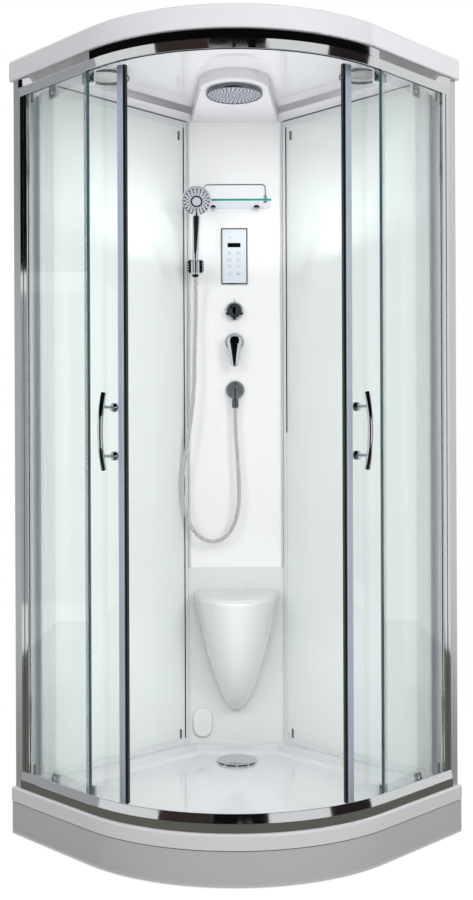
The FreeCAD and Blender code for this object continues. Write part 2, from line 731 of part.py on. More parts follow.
def make_wall_frames():
    cutter = panel_glass(CHANNEL_CLEARANCE)
    inner_start = PANEL_START + CHANNEL_UPRIGHT
    inner_end = PANEL_END - CHANNEL_UPRIGHT
    blocks = [
        wall_box(PANEL_START, inner_start, CHANNEL_BACK, CHANNEL_FACE, TRAY_TOP, WALL_TOP),
        wall_box(inner_end, PANEL_END, CHANNEL_BACK, CHANNEL_FACE, TRAY_TOP, WALL_TOP),
        wall_box(inner_start, inner_end, CHANNEL_BACK, CHANNEL_FACE, TRAY_TOP, TRAY_TOP + CHANNEL_HEIGHT),
        wall_box(inner_start, inner_end, CHANNEL_BACK, CHANNEL_FACE, WALL_TOP - CHANNEL_HEIGHT, WALL_TOP),
    ]
    channels = [block.cut(cutter) for block in blocks]
    return Part.makeCompound(channels + [mirrored(channel) for channel in channels])


def make_panel_clips():
    clips = []
    low = TRAY_TOP + CHANNEL_HEIGHT + CLIP_LIFT
    high = WALL_TOP - CHANNEL_HEIGHT - CLIP_FROM_CHANNEL - CLIP_HEIGHT
    for place in (PANEL_START + CLIP_FROM_START, PANEL_END - CLIP_FROM_END):
        for z in (low, high):
            clip = wall_box(place - CLIP_WIDTH / 2.0, place + CLIP_WIDTH / 2.0,
                            PANEL_FACE, PANEL_FACE + CLIP_DEPTH, z, z + CLIP_HEIGHT)
            clips.extend(both_sides(clip))
    return Part.makeCompound(clips)


# ---------------------------------------------------------------- column and seat
def corner_shell(face_y, half_width, z0, z1):
    """Plate across the corner with its sides folded back along the walls."""
    plate = box(-half_width, half_width, face_y, face_y + SHELL_THICKNESS, z0, z1)
    edge = Vector(half_width, face_y, z0)
    p = (CORNER_Y - edge.y + edge.x) / ROOT2
    q = (CORNER_Y - edge.y - edge.x) / ROOT2
    flange = wall_box(p - COLUMN_FLANGE, p, q - SHELL_THICKNESS, q, z0, z1)
    return fused([plate, flange, mirrored(flange)])


def make_column_panel():
    shell = corner_shell(COLUMN_FACE, COLUMN_HALF_WIDTH, COLUMN_BOTTOM, WALL_TOP)
    through = Vector(0, 2.0 * SHELL_THICKNESS, 0)
    holes = []
    for x, z in ((VALVE_X, DIVERTER_Z), (VALVE_X, MIXER_Z), (HOSE_OUTLET_X, HOSE_OUTLET_Z)):
        start = Vector(x, COLUMN_FACE - SHELL_THICKNESS / 2.0, z)
        holes.append(rod(start, start + through, SPINDLE_RADIUS + 2.0 * PIPE_HOLE_CLEARANCE))
    margin = 2.0 * CONTROL_BOX_MARGIN
    half = CONTROL_WIDTH / 2.0 - margin
    window = box(PANEL_X - half, PANEL_X + half, COLUMN_FACE - 1.0, COLUMN_REAR + 1.0,
                 CONTROL_BOTTOM + margin, CONTROL_BOTTOM + CONTROL_HEIGHT - margin)
    return shell.cut(Part.makeCompound(holes)).cut(window)


def make_column_frame():
    half = UPRIGHT_SIZE / 2.0
    upright = box(UPRIGHT_X - half, UPRIGHT_X + half, COLUMN_REAR, COLUMN_REAR + UPRIGHT_SIZE,
                  TRAY_TOP, WALL_TOP)
    core = box(UPRIGHT_X - half + FRAME_WALL, UPRIGHT_X + half - FRAME_WALL, COLUMN_REAR + FRAME_WALL,
               COLUMN_REAR + UPRIGHT_SIZE - FRAME_WALL, 0.0, 2.0 * WALL_TOP)
    bars = both_sides(upright.cut(core))
    for level in CROSSBAR_LEVELS:
        bars.append(box(-UPRIGHT_X + half, UPRIGHT_X - half, COLUMN_REAR, COLUMN_REAR + CROSSBAR_THICKNESS,
                        level - CROSSBAR_HEIGHT / 2.0, level + CROSSBAR_HEIGHT / 2.0))
    return Part.makeCompound(bars)


def make_column_trims():
    p = (COLUMN_DEPTH + COLUMN_HALF_WIDTH) / ROOT2
    strip = wall_box(p + FACE_GAP, p + FACE_GAP + TRIM_WIDTH, TRIM_BACK, TRIM_FACE, COLUMN_BOTTOM, WALL_TOP)
    return Part.makeCompound(both_sides(strip))


def seat_section(half_width, reach, z):
    """Half-oval outline of the seat at one height, closed against the module's face."""
    right = Vector(half_width, MODULE_FACE + 1.0, z)
    tip = Vector(0, MODULE_FACE - reach, z)
    centre = Vector(0, MODULE_FACE + 1.0, z)
    oval = Part.Ellipse(tip, right, centre)
    arc = Part.ArcOfEllipse(oval, -math.pi / 2.0, math.pi / 2.0)
    ends = [arc.StartPoint, arc.EndPoint]
    back = Part.LineSegment(ends[1], ends[0]).toShape()
    return Part.Wire([arc.toShape(), back])


def seat_form(shrink):
    """Seat body: half-oval sections that narrow downwards to a rounded tip."""
    height = SEAT_TOP - SEAT_TIP - 2.0 * shrink
    low = SEAT_TIP + shrink
    wires = []
    for count in range(SEAT_SECTIONS):
        share = count / (SEAT_SECTIONS - 1.0)
        level = low + height * (0.012 + 0.988 * share ** 1.5)
        rise = (level - SEAT_TIP) / (SEAT_TOP - SEAT_TIP)
        width = SEAT_HALF_WIDTH * rise ** 0.52 - shrink
        reach = SEAT_REACH * rise ** 0.6 - shrink
        wires.append(seat_section(width, max(reach, width + 1.0), level))
    return Part.makeLoft(wires, True, False)


def make_seat_module():
    shell = corner_shell(MODULE_FACE, MODULE_HALF_WIDTH, TRAY_TOP, COLUMN_BOTTOM)
    body = seat_form(0.0)
    top_edges = edges_at(body, SEAT_TOP, lambda c: c.y < MODULE_FACE - 10.0)
    body = body.makeFillet(SEAT_EDGE_ROUND, top_edges)
    hollow = seat_form(SEAT_SHELL)
    room = box(-SEAT_HALF_WIDTH, SEAT_HALF_WIDTH, MODULE_FACE - SEAT_REACH, MODULE_FACE + 0.5,
               SEAT_TIP, SEAT_TOP)
    hollow = hollow.common(room)
    module = fused([shell, body])
    back_open = box(-SEAT_HALF_WIDTH, SEAT_HALF_WIDTH, MODULE_FACE + SHELL_THICKNESS,
                    MODULE_FACE + 8.0 * SHELL_THICKNESS, SEAT_TIP, SEAT_TOP)
    module = module.cut(hollow).cut(back_open.common(body))
    vent = rod(Vector(STEAM_CAP_X, MODULE_FACE - 1.0, STEAM_CAP_Z),
               Vector(STEAM_CAP_X, MODULE_FACE + SHELL_THICKNESS + 1.0, STEAM_CAP_Z),
               STEAM_PIPE_RADIUS + PIPE_HOLE_CLEARANCE)
    return module.cut(vent)


def make_steam_outlet():
    half = STEAM_CAP_WIDTH / 2.0
    straight = STEAM_CAP_HEIGHT / 2.0 - half
    face = MODULE_FACE - STEAM_CAP_THICKNESS
    top = rod(Vector(STEAM_CAP_X, face, STEAM_CAP_Z + straight),
              Vector(STEAM_CAP_X, MODULE_FACE, STEAM_CAP_Z + straight), half)
    bottom = rod(Vector(STEAM_CAP_X, face, STEAM_CAP_Z - straight),
                 Vector(STEAM_CAP_X, MODULE_FACE, STEAM_CAP_Z - straight), half)
    middle = box(STEAM_CAP_X - half, STEAM_CAP_X + half, face, MODULE_FACE,
                 STEAM_CAP_Z - straight, STEAM_CAP_Z + straight)
    cap = fused([top, bottom, middle])
    rim = [edge for edge in cap.Edges if abs(edge.CenterOfMass.y - face) < 0.01]
    cap = cap.makeFillet(STEAM_CAP_THICKNESS / 3.0, rim)
    duct = box(STEAM_CAP_X - STEAM_SLOT_WIDTH / 2.0, STEAM_CAP_X + STEAM_SLOT_WIDTH / 2.0,
               face + STEAM_CAP_THICKNESS / 3.0, MODULE_FACE + 1.0,
               STEAM_CAP_Z - STEAM_CAP_HEIGHT / 2.0, STEAM_CAP_Z + STEAM_SLOT_HEIGHT)
    return cap.cut(duct)


# ---------------------------------------------------------------- posts, rails and panes
def make_wall_posts():
    near = POST_FACE - POST_WIDTH
    bar = wall_box(near, POST_FACE, 0.0, POST_WIDTH, TRAY_TOP, ROOF_RIM_BOTTOM)
    core = wall_box(near + POST_WALL, POST_FACE - POST_WALL, POST_WALL, POST_WIDTH - POST_WALL,
                    0.0, 2.0 * ROOF_RIM_BOTTOM)
    return Part.makeCompound(both_sides(bar.cut(core)))


def pane(clearance):
    """Right-hand fixed pane; clearance makes it a cutter for what grips it."""
    return wall_box(BEND + PANE_BACK - clearance, BEND + PANE_FACE + clearance, PANE_START - clearance,
                    PANE_END + clearance, TRAY_TOP + PANE_REBATE - clearance,
                    LEDGE_TOP - RAIL_WALL - 1.0 - PANE_REBATE / 2.0 + clearance)


def make_glazing_strips():
    strips = []
    for start, end in ((POST_WIDTH, STRIP_FIRST_END), (STRIP_SECOND_START, STRIP_SECOND_END)):
        strip = wall_box(STRIP_FACE - STRIP_DEPTH, STRIP_FACE, start, end, SILL_TOP, HEADER_BOTTOM)
        strips.extend(both_sides(strip.cut(pane(SLOT_CLEARANCE / 3.0))))
    return Part.makeCompound(strips)


def make_top_rail():
    upright_end = ROOF_RIM_BOTTOM - RAIL_UPRIGHT_PART
    ledge_under = LEDGE_TOP - RAIL_WALL
    profile = [
        (RAIL_FACE, ROOF_RIM_BOTTOM),
        (RAIL_FACE, upright_end),
        (RAIL_LIP_FACE, HEADER_BOTTOM),
        (SLOT_OUTER, HEADER_BOTTOM),
        (SLOT_OUTER, ledge_under),
        (SLOT_INNER, ledge_under),
        (SLOT_INNER, HEADER_BOTTOM),
        (SLOT_LIP, HEADER_BOTTOM),
        (SLOT_LIP, ledge_under),
        (LEDGE_EDGE, ledge_under),
        (LEDGE_EDGE, LEDGE_TOP),
        (RAIL_FACE - RAIL_WALL, LEDGE_TOP),
        (RAIL_FACE - RAIL_WALL, ROOF_RIM_BOTTOM),
    ]
    return along_front(profile, POST_WIDTH)


def make_bottom_rail():
    floor = TRAY_TOP + RAIL_WALL
    profile = [
        (SILL_EDGE, TRAY_TOP),
        (RAIL_FACE, TRAY_TOP),
        (RAIL_FACE, TRAY_TOP + RAIL_UPRIGHT_PART),
        (RAIL_LIP_FACE, SILL_TOP),
        (SLOT_OUTER, SILL_TOP),
        (SLOT_OUTER, floor),
        (SLOT_INNER, floor),
        (SLOT_INNER, TRAY_TOP + SILL_INNER_LIP),
        (SLOT_LIP, TRAY_TOP + SILL_INNER_LIP),
        (SLOT_LIP, floor),
        (SILL_EDGE, floor),
    ]
    return along_front(profile, POST_WIDTH)


def make_fixed_seals():
    seal = wall_box(BEND + PANE_BACK - PANE_SEAL_THICKNESS, BEND + PANE_FACE + PANE_SEAL_THICKNESS,
                    PANE_END - PANE_SEAL_LENGTH, PANE_END + PANE_SEAL_THICKNESS, SILL_TOP, HEADER_BOTTOM)
    return Part.makeCompound(both_sides(seal.cut(pane(0.0))))


# ---------------------------------------------------------------- roof and what hangs from it
def boss_outline(z0, z1):
    """Lowered boss over the column: straight flanks that run into a round head."""
    head = Part.makeCylinder(BOSS_HEAD_RADIUS, z1 - z0, Vector(0, RAIN_HEAD_Y, z0))
    run = COLUMN_FACE - RAIN_HEAD_Y
    slant = math.atan2(BOSS_HALF_WIDTH - BOSS_HEAD_RADIUS, run)
    touch_x = BOSS_HEAD_RADIUS * math.cos(slant)
    touch_y = RAIN_HEAD_Y - BOSS_HEAD_RADIUS * math.sin(slant)
    back_y = CORNER_Y - BOSS_HALF_WIDTH - CAVITY_WALL_INSET
    flank = [
        Vector(touch_x, touch_y, z0),
        Vector(BOSS_HALF_WIDTH, back_y, z0),
        Vector(0, CORNER_Y - CAVITY_WALL_INSET * ROOT2 / 2.0, z0),
        Vector(-BOSS_HALF_WIDTH, back_y, z0),
        Vector(-touch_x, touch_y, z0),
    ]
    return fused([head, prism(flank, z1 - z0)])


def make_roof():
    body = slab(0.0, 0.0, ROOF_RIM_BOTTOM, ROOF_TOP)
    front_edge = CORNER_Y - (WALL_LENGTH + 1.0) / ROOT2
    body = body.makeFillet(ROOF_SHOULDER, edges_at(body, ROOF_TOP, lambda c: c.y < front_edge))
    bottom = edges_at(body, ROOF_RIM_BOTTOM, lambda c: c.y < front_edge)
    body = body.makeFillet(ROOF_BEAD, bottom)
    cavity = slab(ROOF_RIM_WIDTH, CAVITY_WALL_INSET, ROOF_RIM_BOTTOM - COVE_RADIUS, CEILING)
    cavity = cavity.makeFillet(COVE_RADIUS, edges_at(cavity, CEILING))
    boss = boss_outline(WALL_TOP, CEILING + ROOF_SKIN / 2.0)
    tip = edges_at(boss, WALL_TOP, lambda c: c.y < COLUMN_FACE)
    boss = boss.makeFillet(BOSS_ROUND, tip)
    cavity = cavity.cut(boss)
    notch = wall_box(0.0, POST_FACE - POST_WIDTH, 0.0, CAVITY_WALL_INSET + 1.0,
                     ROOF_RIM_BOTTOM - 1.0, WALL_TOP)
    under = ROOF_RIM_BOTTOM - 1.0
    corner_room = prism([plan(0.0, 0.0, under), plan(ROOF_CORNER_ROOM, 0.0, under),
                         plan(0.0, ROOF_CORNER_ROOM, under)], WALL_TOP - under)
    roof = body.cut(cavity).cut(notch).cut(mirrored(notch)).cut(corner_room)
    for y in (PIPE_Y, RAIN_HEAD_Y):
        hole = Part.makeCylinder(PIPE_RADIUS + PIPE_HOLE_CLEARANCE, ROOF_TOP, Vector(0, y, WALL_TOP - 1.0))
        roof = roof.cut(hole)
    fan_place = plan(FIXTURE_P, FIXTURE_Q, CEILING - 1.0)
    return roof.cut(Part.makeCylinder(FAN_HOLE_RADIUS, 2.0 * ROOF_SKIN, fan_place))


def make_rain_head():
    low = WALL_TOP - RAIN_HEAD_THICKNESS
    disc = Part.makeCylinder(RAIN_HEAD_RADIUS, RAIN_HEAD_THICKNESS, Vector(0, RAIN_HEAD_Y, low))
    disc = disc.makeFillet(RAIN_HEAD_THICKNESS / 3.0, edges_at(disc, low))
    recess = Part.makeCylinder(RAIN_FACE_RADIUS, RAIN_FACE_RECESS, Vector(0, RAIN_HEAD_Y, low))
    return disc.cut(recess)


def fixture_place(side, z):
    """Middle of the ceiling fixture on one side: 1 is right, -1 is left."""
    place = plan(FIXTURE_P, FIXTURE_Q, z)
    return Vector(side * place.x, place.y, z)


def make_fixture_rings():
    rings = []
    for side in (-1, 1):
        base = fixture_place(side, CEILING - FIXTURE_DROP)
        ring = Part.makeCylinder(FIXTURE_RADIUS, FIXTURE_DROP, base)
        ring = ring.makeFillet(FIXTURE_DROP / 3.0, edges_at(ring, CEILING - FIXTURE_DROP))
        rings.append(ring.cut(Part.makeCylinder(FIXTURE_RADIUS - FIXTURE_RING, FIXTURE_DROP, base)))
    return Part.makeCompound(rings)


def make_light_lens():
    base = fixture_place(-1, CEILING - LENS_DROP)
    lens = Part.makeCylinder(FIXTURE_RADIUS - FIXTURE_RING, LENS_DROP, base)
    return lens.makeFillet(LENS_DROP / 3.0, edges_at(lens, CEILING - LENS_DROP))


def make_fan_housing():
    low = fixture_place(1, CEILING - LENS_DROP)
    grille = Part.makeCylinder(FIXTURE_RADIUS - FIXTURE_RING, LENS_DROP - FAN_BLADE_THICKNESS, low)
    pitch = GRILLE_BAR + GRILLE_GAP
    slots = []
    for count in range(-GRILLE_BARS // 2, GRILLE_BARS // 2 + 1):
        y = low.y + count * pitch
        span = math.sqrt(FAN_BLADE_RADIUS ** 2 - (count * pitch) ** 2)
        slots.append(box(low.x - span, low.x + span, y - GRILLE_GAP / 2.0, y + GRILLE_GAP / 2.0,
                         low.z - 1.0, CEILING))
    grille = grille.cut(Part.makeCompound(slots))
    case = Part.makeCylinder(FAN_CASE_RADIUS, FAN_TOP - ROOF_TOP, fixture_place(1, ROOF_TOP))
    room = Part.makeCylinder(FAN_CASE_RADIUS - FAN_CASE_WALL, FAN_TOP - ROOF_TOP - FAN_CASE_WALL,
                             fixture_place(1, ROOF_TOP))
    motor_low = FAN_TOP - FAN_CASE_WALL - FAN_MOTOR_HEIGHT
    motor = Part.makeCylinder(FAN_MOTOR_RADIUS, FAN_MOTOR_HEIGHT + FAN_CASE_WALL / 2.0,
                              fixture_place(1, motor_low))
    shaft_low = FAN_ROTOR_BOTTOM + FAN_BLADE_THICKNESS
    shaft = Part.makeCylinder(FAN_SHAFT_RADIUS, motor_low + 1.0 - shaft_low, fixture_place(1, shaft_low))
    outlet_low = ROOF_TOP + FAN_CASE_WALL
    outlet = box(low.x, low.x + 2.0 * FAN_CASE_RADIUS, low.y - FAN_HUB_RADIUS, low.y + FAN_HUB_RADIUS,
                 outlet_low, FAN_TOP - 2.0 * FAN_CASE_WALL)
    case = fused([case.cut(room).cut(outlet), motor, shaft])
    return Part.makeCompound([grille, case])


def make_fan_rotor():
    base = fixture_place(1, FAN_ROTOR_BOTTOM)
    pieces = [Part.makeCylinder(FAN_HUB_RADIUS, FAN_BLADE_HEIGHT, base)]
    for count in range(FAN_BLADES):
        blade = box(FAN_HUB_RADIUS - FAN_BLADE_ROOT, FAN_BLADE_RADIUS, -FAN_BLADE_THICKNESS / 2.0,
                    FAN_BLADE_THICKNESS / 2.0, 0.0, FAN_BLADE_HEIGHT)
        blade.rotate(Vector(0, 0, 0), RIGHT, FAN_BLADE_PITCH)
        around = blade.BoundBox
        blade.translate(Vector(0, 0, FAN_BLADE_HEIGHT / 2.0 - (around.ZMin + around.ZMax) / 2.0))
        blade.rotate(Vector(0, 0, 0), UP, 360.0 * count / FAN_BLADES)
        blade.translate(base)
        pieces.append(blade)
    rotor = fused(pieces)
    bore = Part.makeCylinder(FAN_SHAFT_RADIUS + RUNNING_FIT, FAN_BLADE_HEIGHT,
                             base + UP * FAN_BLADE_THICKNESS)
    return rotor.cut(bore)


# ---------------------------------------------------------------- controls and water
def make_control_bezel():
    half = CONTROL_WIDTH / 2.0
    outer = box(PANEL_X - half, PANEL_X + half, COLUMN_FACE - BEZEL_DEPTH, COLUMN_FACE,
                CONTROL_BOTTOM, CONTROL_BOTTOM + CONTROL_HEIGHT)
    front = COLUMN_FACE - BEZEL_DEPTH
    rim = [edge for edge in outer.Edges if abs(edge.CenterOfMass.y - front) < 0.01]
    outer = outer.makeFillet(CONTROL_BORDER / 2.5, rim)
    return outer.cut(control_face_block(BEZEL_DEPTH + 1.0))


def control_face_block(depth):
    half = CONTROL_WIDTH / 2.0 - CONTROL_BORDER
    return box(PANEL_X - half, PANEL_X + half, COLUMN_FACE - depth, COLUMN_FACE,
               CONTROL_BOTTOM + CONTROL_BORDER, CONTROL_BOTTOM + CONTROL_HEIGHT - CONTROL_BORDER)


def make_control_face():
    return control_face_block(CONTROL_FACE_DEPTH)


def make_control_box():
    half = CONTROL_WIDTH / 2.0 - CONTROL_BOX_MARGIN
    case = box(PANEL_X - half, PANEL_X + half, COLUMN_REAR, COLUMN_REAR + CONTROL_BOX_DEPTH,
               CONTROL_BOTTOM + CONTROL_BOX_MARGIN, CONTROL_BOTTOM + CONTROL_HEIGHT - CONTROL_BOX_MARGIN)
    pipe_room = rod(Vector(0, PIPE_Y, 0), Vector(0, PIPE_Y, 2.0 * CONTROL_BOTTOM),
                    PIPE_RADIUS + PIPE_HOLE_CLEARANCE)
    return case.cut(pipe_room)


def make_valve_rosettes():
    discs = []
    for z in (DIVERTER_Z, MIXER_Z):
        rear = Vector(VALVE_X, COLUMN_FACE, z)
        disc = rod(rear, rear + FRONT * ROSETTE_DEPTH, ROSETTE_RADIUS)
        front = COLUMN_FACE - ROSETTE_DEPTH
        rim = [edge for edge in disc.Edges if abs(edge.CenterOfMass.y - front) < 0.01]
        disc = disc.makeFillet(ROSETTE_DEPTH / 3.0, rim)
        discs.append(disc.cut(rod(rear, rear + FRONT * 2.0 * ROSETTE_DEPTH, SPINDLE_RADIUS + 1.0)))
    return Part.makeCompound(discs)


def make_hose_outlet():
    rear = Vector(HOSE_OUTLET_X, COLUMN_FACE, HOSE_OUTLET_Z)
    plate_end = rear + FRONT * ROSETTE_DEPTH
    plate = rod(rear, plate_end, OUTLET_DOME_RADIUS)
    dome = cone(plate_end, plate_end + FRONT * OUTLET_DOME_DEPTH, OUTLET_DOME_RADIUS - 1.0,
                OUTLET_NECK_RADIUS)
    knee = rear + FRONT * OUTLET_REACH
    ball = Part.makeSphere(OUTLET_NECK_RADIUS, knee)
    neck_end = Vector(knee.x, knee.y, OUTLET_NUT_TOP)
    neck = rod(knee, neck_end, OUTLET_NECK_RADIUS - 1.0)
    nut = rod(neck_end, Vector(knee.x, knee.y, OUTLET_NUT_BOTTOM), OUTLET_NUT_RADIUS)
    tail = rod(rear + BACK * SHELL_THICKNESS, rear, SPINDLE_RADIUS)
    return fused([plate, dome, ball, neck, nut, tail])


def make_diverter_knob():
    rear = Vector(VALVE_X, COLUMN_FACE - ROSETTE_DEPTH - SOFT_GAP, DIVERTER_Z)
    body = rod(rear, rear + FRONT * KNOB_DEPTH, KNOB_RADIUS)
    front = rear.y - KNOB_DEPTH
    rim = [edge for edge in body.Edges if abs(edge.CenterOfMass.y - front) < 0.01]
    body = body.makeFillet(KNOB_ROUND, rim)
    mark = box(rear.x - 1.5, rear.x + 1.5, front + KNOB_ROUND, front + 2.0 * KNOB_ROUND,
               DIVERTER_Z + KNOB_RADIUS - 2.0, DIVERTER_Z + KNOB_RADIUS + 1.5)
    bore = rod(rear, rear + FRONT * SPINDLE_IN_KNOB, SPINDLE_RADIUS + RUNNING_FIT)
    return fused([body, mark]).cut(bore)


def cap_front():
    return COLUMN_FACE - ROSETTE_DEPTH - SOFT_GAP - CAP_DEPTH


def lever_pin():
    return Vector(VALVE_X, cap_front() + LEVER_PIN_BEHIND, MIXER_Z + LEVER_PIN_RISE)


def make_mixer_cap():
    rear = Vector(VALVE_X, COLUMN_FACE - ROSETTE_DEPTH - SOFT_GAP, MIXER_Z)
    front = cap_front()
    body = rod(rear, rear + FRONT * CAP_DEPTH, CAP_RADIUS)
    rim = [edge for edge in body.Edges if abs(edge.CenterOfMass.y - front) < 0.01]
    body = body.makeFillet(CAP_ROUND, rim)
    pin = lever_pin()
    slot = box(VALVE_X - CAP_SLOT_HALF, VALVE_X + CAP_SLOT_HALF, front - 1.0, front + CAP_SLOT_DEPTH,
               pin.z - CAP_SLOT_DEPTH, pin.z + LEVER_EYE_RADIUS + 2.0)
    bore = rod(rear, rear + FRONT * (CAP_DEPTH - CAP_SLOT_DEPTH - 1.0), SPINDLE_RADIUS + RUNNING_FIT)
    half = RIGHT * LEVER_PIN_HALF
    return fused([body.cut(slot).cut(bore), rod(pin - half, pin + half, LEVER_PIN_RADIUS)])


def make_mixer_lever():
    pin = lever_pin()
    plate_back = cap_front() - LEVER_GAP
    plate_front = plate_back - LEVER_THICKNESS
    tip_z = MIXER_Z - LEVER_LENGTH
    slant = math.asin((LEVER_HEAD_RADIUS - LEVER_TIP_RADIUS) / LEVER_LENGTH)
    flank = []
    for side, radius, z in ((1, LEVER_HEAD_RADIUS, MIXER_Z), (1, LEVER_TIP_RADIUS, tip_z),
                            (-1, LEVER_TIP_RADIUS, tip_z), (-1, LEVER_HEAD_RADIUS, MIXER_Z)):
        flank.append(Vector(VALVE_X + side * radius * math.cos(slant), plate_back,
                            z - radius * math.sin(slant)))
    web = Part.Face(Part.makePolygon(flank + [flank[0]])).extrude(FRONT * LEVER_THICKNESS)
    head_back = Vector(VALVE_X, plate_back, MIXER_Z)
    tip_back = Vector(VALVE_X, plate_back, tip_z)
    spoon = fused([
        web,
        rod(head_back, head_back + FRONT * LEVER_THICKNESS, LEVER_HEAD_RADIUS),
        rod(tip_back, tip_back + FRONT * LEVER_THICKNESS, LEVER_TIP_RADIUS),
    ])
    rim = [edge for edge in spoon.Edges if abs(edge.BoundBox.YMax - plate_front) < 0.01]
    spoon = spoon.makeFillet(LEVER_THICKNESS / 2.5, rim)
    half = RIGHT * LEVER_TONGUE_HALF
    eye = rod(pin - half, pin + half, LEVER_EYE_RADIUS)
    tongue = box(pin.x - LEVER_TONGUE_HALF, pin.x + LEVER_TONGUE_HALF, plate_back - 1.0, pin.y,
                 pin.z - LEVER_TONGUE_HEIGHT / 2.0, pin.z + LEVER_TONGUE_HEIGHT / 2.0)
    lever = fused([spoon, tongue, eye])
    return lever.cut(rod(pin - half * 2.0, pin + half * 2.0, LEVER_PIN_RADIUS + RUNNING_FIT))


def make_valve_block():
    front = COLUMN_REAR + CROSSBAR_THICKNESS
    pieces = [box(VALVE_X - BLOCK_HALF_WIDTH, VALVE_X + BLOCK_HALF_WIDTH, front, front + BLOCK_DEPTH,
                  BLOCK_BOTTOM, BLOCK_TOP)]
    knob_end = COLUMN_FACE - ROSETTE_DEPTH - SPINDLE_IN_KNOB + 2.0
    cap_end = cap_front() + CAP_SLOT_DEPTH + 2.0
    for z, end in ((DIVERTER_Z, knob_end), (MIXER_Z, cap_end)):
        pieces.append(rod(Vector(VALVE_X, front, z), Vector(VALVE_X, end, z), SPINDLE_RADIUS))
    pieces.append(rod(Vector(HOSE_OUTLET_X, front, HOSE_OUTLET_Z),
                      Vector(HOSE_OUTLET_X, COLUMN_REAR, HOSE_OUTLET_Z), SPINDLE_RADIUS))
    for side in (-1, 1):
        start = Vector(VALVE_X + side * INLET_X, front + BLOCK_DEPTH, INLET_Z)
        pieces.append(rod(start, start + BACK * INLET_LENGTH, INLET_RADIUS))
    return fused(pieces)


def make_water_pipes():
    over = ROOF_TOP + ROOF_PIPE_RISE
    riser_route = [
        Vector(0, PIPE_Y, BLOCK_TOP),
        Vector(0, PIPE_Y, over),
        Vector(0, RAIN_HEAD_Y, over),
        Vector(0, RAIN_HEAD_Y, WALL_TOP),
    ]
    bends = [ROOF_PIPE_RISE, ROOF_PIPE_RISE]
    riser, _ = tube(riser_route, PIPE_RADIUS, bends)
    feed = rod(Vector(FEED_PIPE_X, PIPE_Y, GENERATOR_TOP), Vector(FEED_PIPE_X, PIPE_Y, BLOCK_BOTTOM),
               PIPE_RADIUS)
    steam_route = [
        Vector(-GENERATOR_HALF_WIDTH, STEAM_PIPE_Y, STEAM_CAP_Z),
        Vector(STEAM_CAP_X, STEAM_PIPE_Y, STEAM_CAP_Z),
        Vector(STEAM_CAP_X, MODULE_FACE, STEAM_CAP_Z),
    ]
    steam, _ = tube(steam_route, STEAM_PIPE_RADIUS, [STEAM_PIPE_BEND])
    return Part.makeCompound([riser, feed, steam])


def make_steam_generator():
    case = box(-GENERATOR_HALF_WIDTH, GENERATOR_HALF_WIDTH, GENERATOR_FRONT, GENERATOR_BACK,
               TRAY_TOP, GENERATOR_TOP)
    upright = [edge for edge in case.Edges if edge.BoundBox.ZLength > GENERATOR_HALF_WIDTH]
    return case.makeFillet(PIPE_RADIUS, upright)


# ---------------------------------------------------------------- shelf
def shelf_plate(clearance):
    front = COLUMN_FACE - SHELF_DEPTH
    plate = box(-SHELF_HALF_WIDTH, SHELF_HALF_WIDTH, front, COLUMN_FACE, SHELF_Z - clearance,
                SHELF_Z + SHELF_THICKNESS + clearance)
    corners = []
    for edge in plate.Edges:
        if edge.BoundBox.ZLength > 1.0 and edge.CenterOfMass.y > front + 1.0:
            corners.append(edge)
    return plate.makeFillet(SHELF_CORNER, corners)


def make_shelf_rail():
    y = COLUMN_FACE - SHELF_DEPTH + SHELF_RAIL_FROM_EDGE
    base = SHELF_Z + SHELF_THICKNESS
    route = [
        Vector(-SHELF_RAIL_HALF, y, base),
        Vector(-SHELF_RAIL_HALF, y, base + SHELF_RAIL_RISE),
        Vector(SHELF_RAIL_HALF, y, base + SHELF_RAIL_RISE),
        Vector(SHELF_RAIL_HALF, y, base),
    ]
    wire, _ = tube(route, SHELF_RAIL_RADIUS, [SHELF_RAIL_BEND, SHELF_RAIL_BEND])
    pieces = [wire]
    for side in (-1, 1):
        low = Vector(side * SHELF_RAIL_HALF, y, SHELF_Z - SHELF_CLAMP_HEIGHT / 4.0)
        pieces.append(Part.makeCylinder(SHELF_CLAMP_RADIUS, SHELF_CLAMP_HEIGHT, low))
    rail = fused(pieces).cut(shelf_plate(0.0))
    supports = []
    for side in (-1, 1):
        rear = Vector(side * SHELF_SUPPORT_X, COLUMN_FACE, SHELF_Z + SHELF_THICKNESS / 2.0)
        post = rod(rear, rear + FRONT * SHELF_SUPPORT_LENGTH, SHELF_SUPPORT_RADIUS)
        supports.append(post.cut(shelf_plate(0.0)))
    return Part.makeCompound(rail.Solids + [solid for post in supports for solid in post.Solids])


# ---------------------------------------------------------------- hand shower
def holder_frame(shape):
    """Put a shape drawn about the handset's own axis at its place on the column."""
    shape.rotate(Vector(0, 0, 0), RIGHT, HANDSET_TILT)
    shape.translate(Vector(HOLDER_X, HOLDER_AXIS_Y, HOLDER_Z))
    return shape


def holder_pivot():
    place = FreeCAD.Rotation(RIGHT, HANDSET_TILT).multVec(Vector(0, HOLDER_PIVOT_BACK, 0))
    return Vector(HOLDER_X, HOLDER_AXIS_Y, HOLDER_Z) + place


def make_holder_bracket():
    pivot = holder_pivot()
    rear = Vector(HOLDER_X, COLUMN_FACE, pivot.z)
    rosette = rod(rear, rear + FRONT * HOLDER_ROSETTE_DEPTH, HOLDER_ROSETTE_RADIUS)
    arm = rod(rear, Vector(HOLDER_X, pivot.y, pivot.z), HOLDER_ARM_RADIUS)
    half = RIGHT * HOLDER_BARREL_HALF
    barrel = rod(pivot - half, pivot + half, HOLDER_BARREL_RADIUS)
    pin_half = RIGHT * HOLDER_PIN_HALF
    pin = rod(pivot - pin_half, pivot + pin_half, HOLDER_PIN_RADIUS)
    return fused([rosette, arm, barrel, pin])


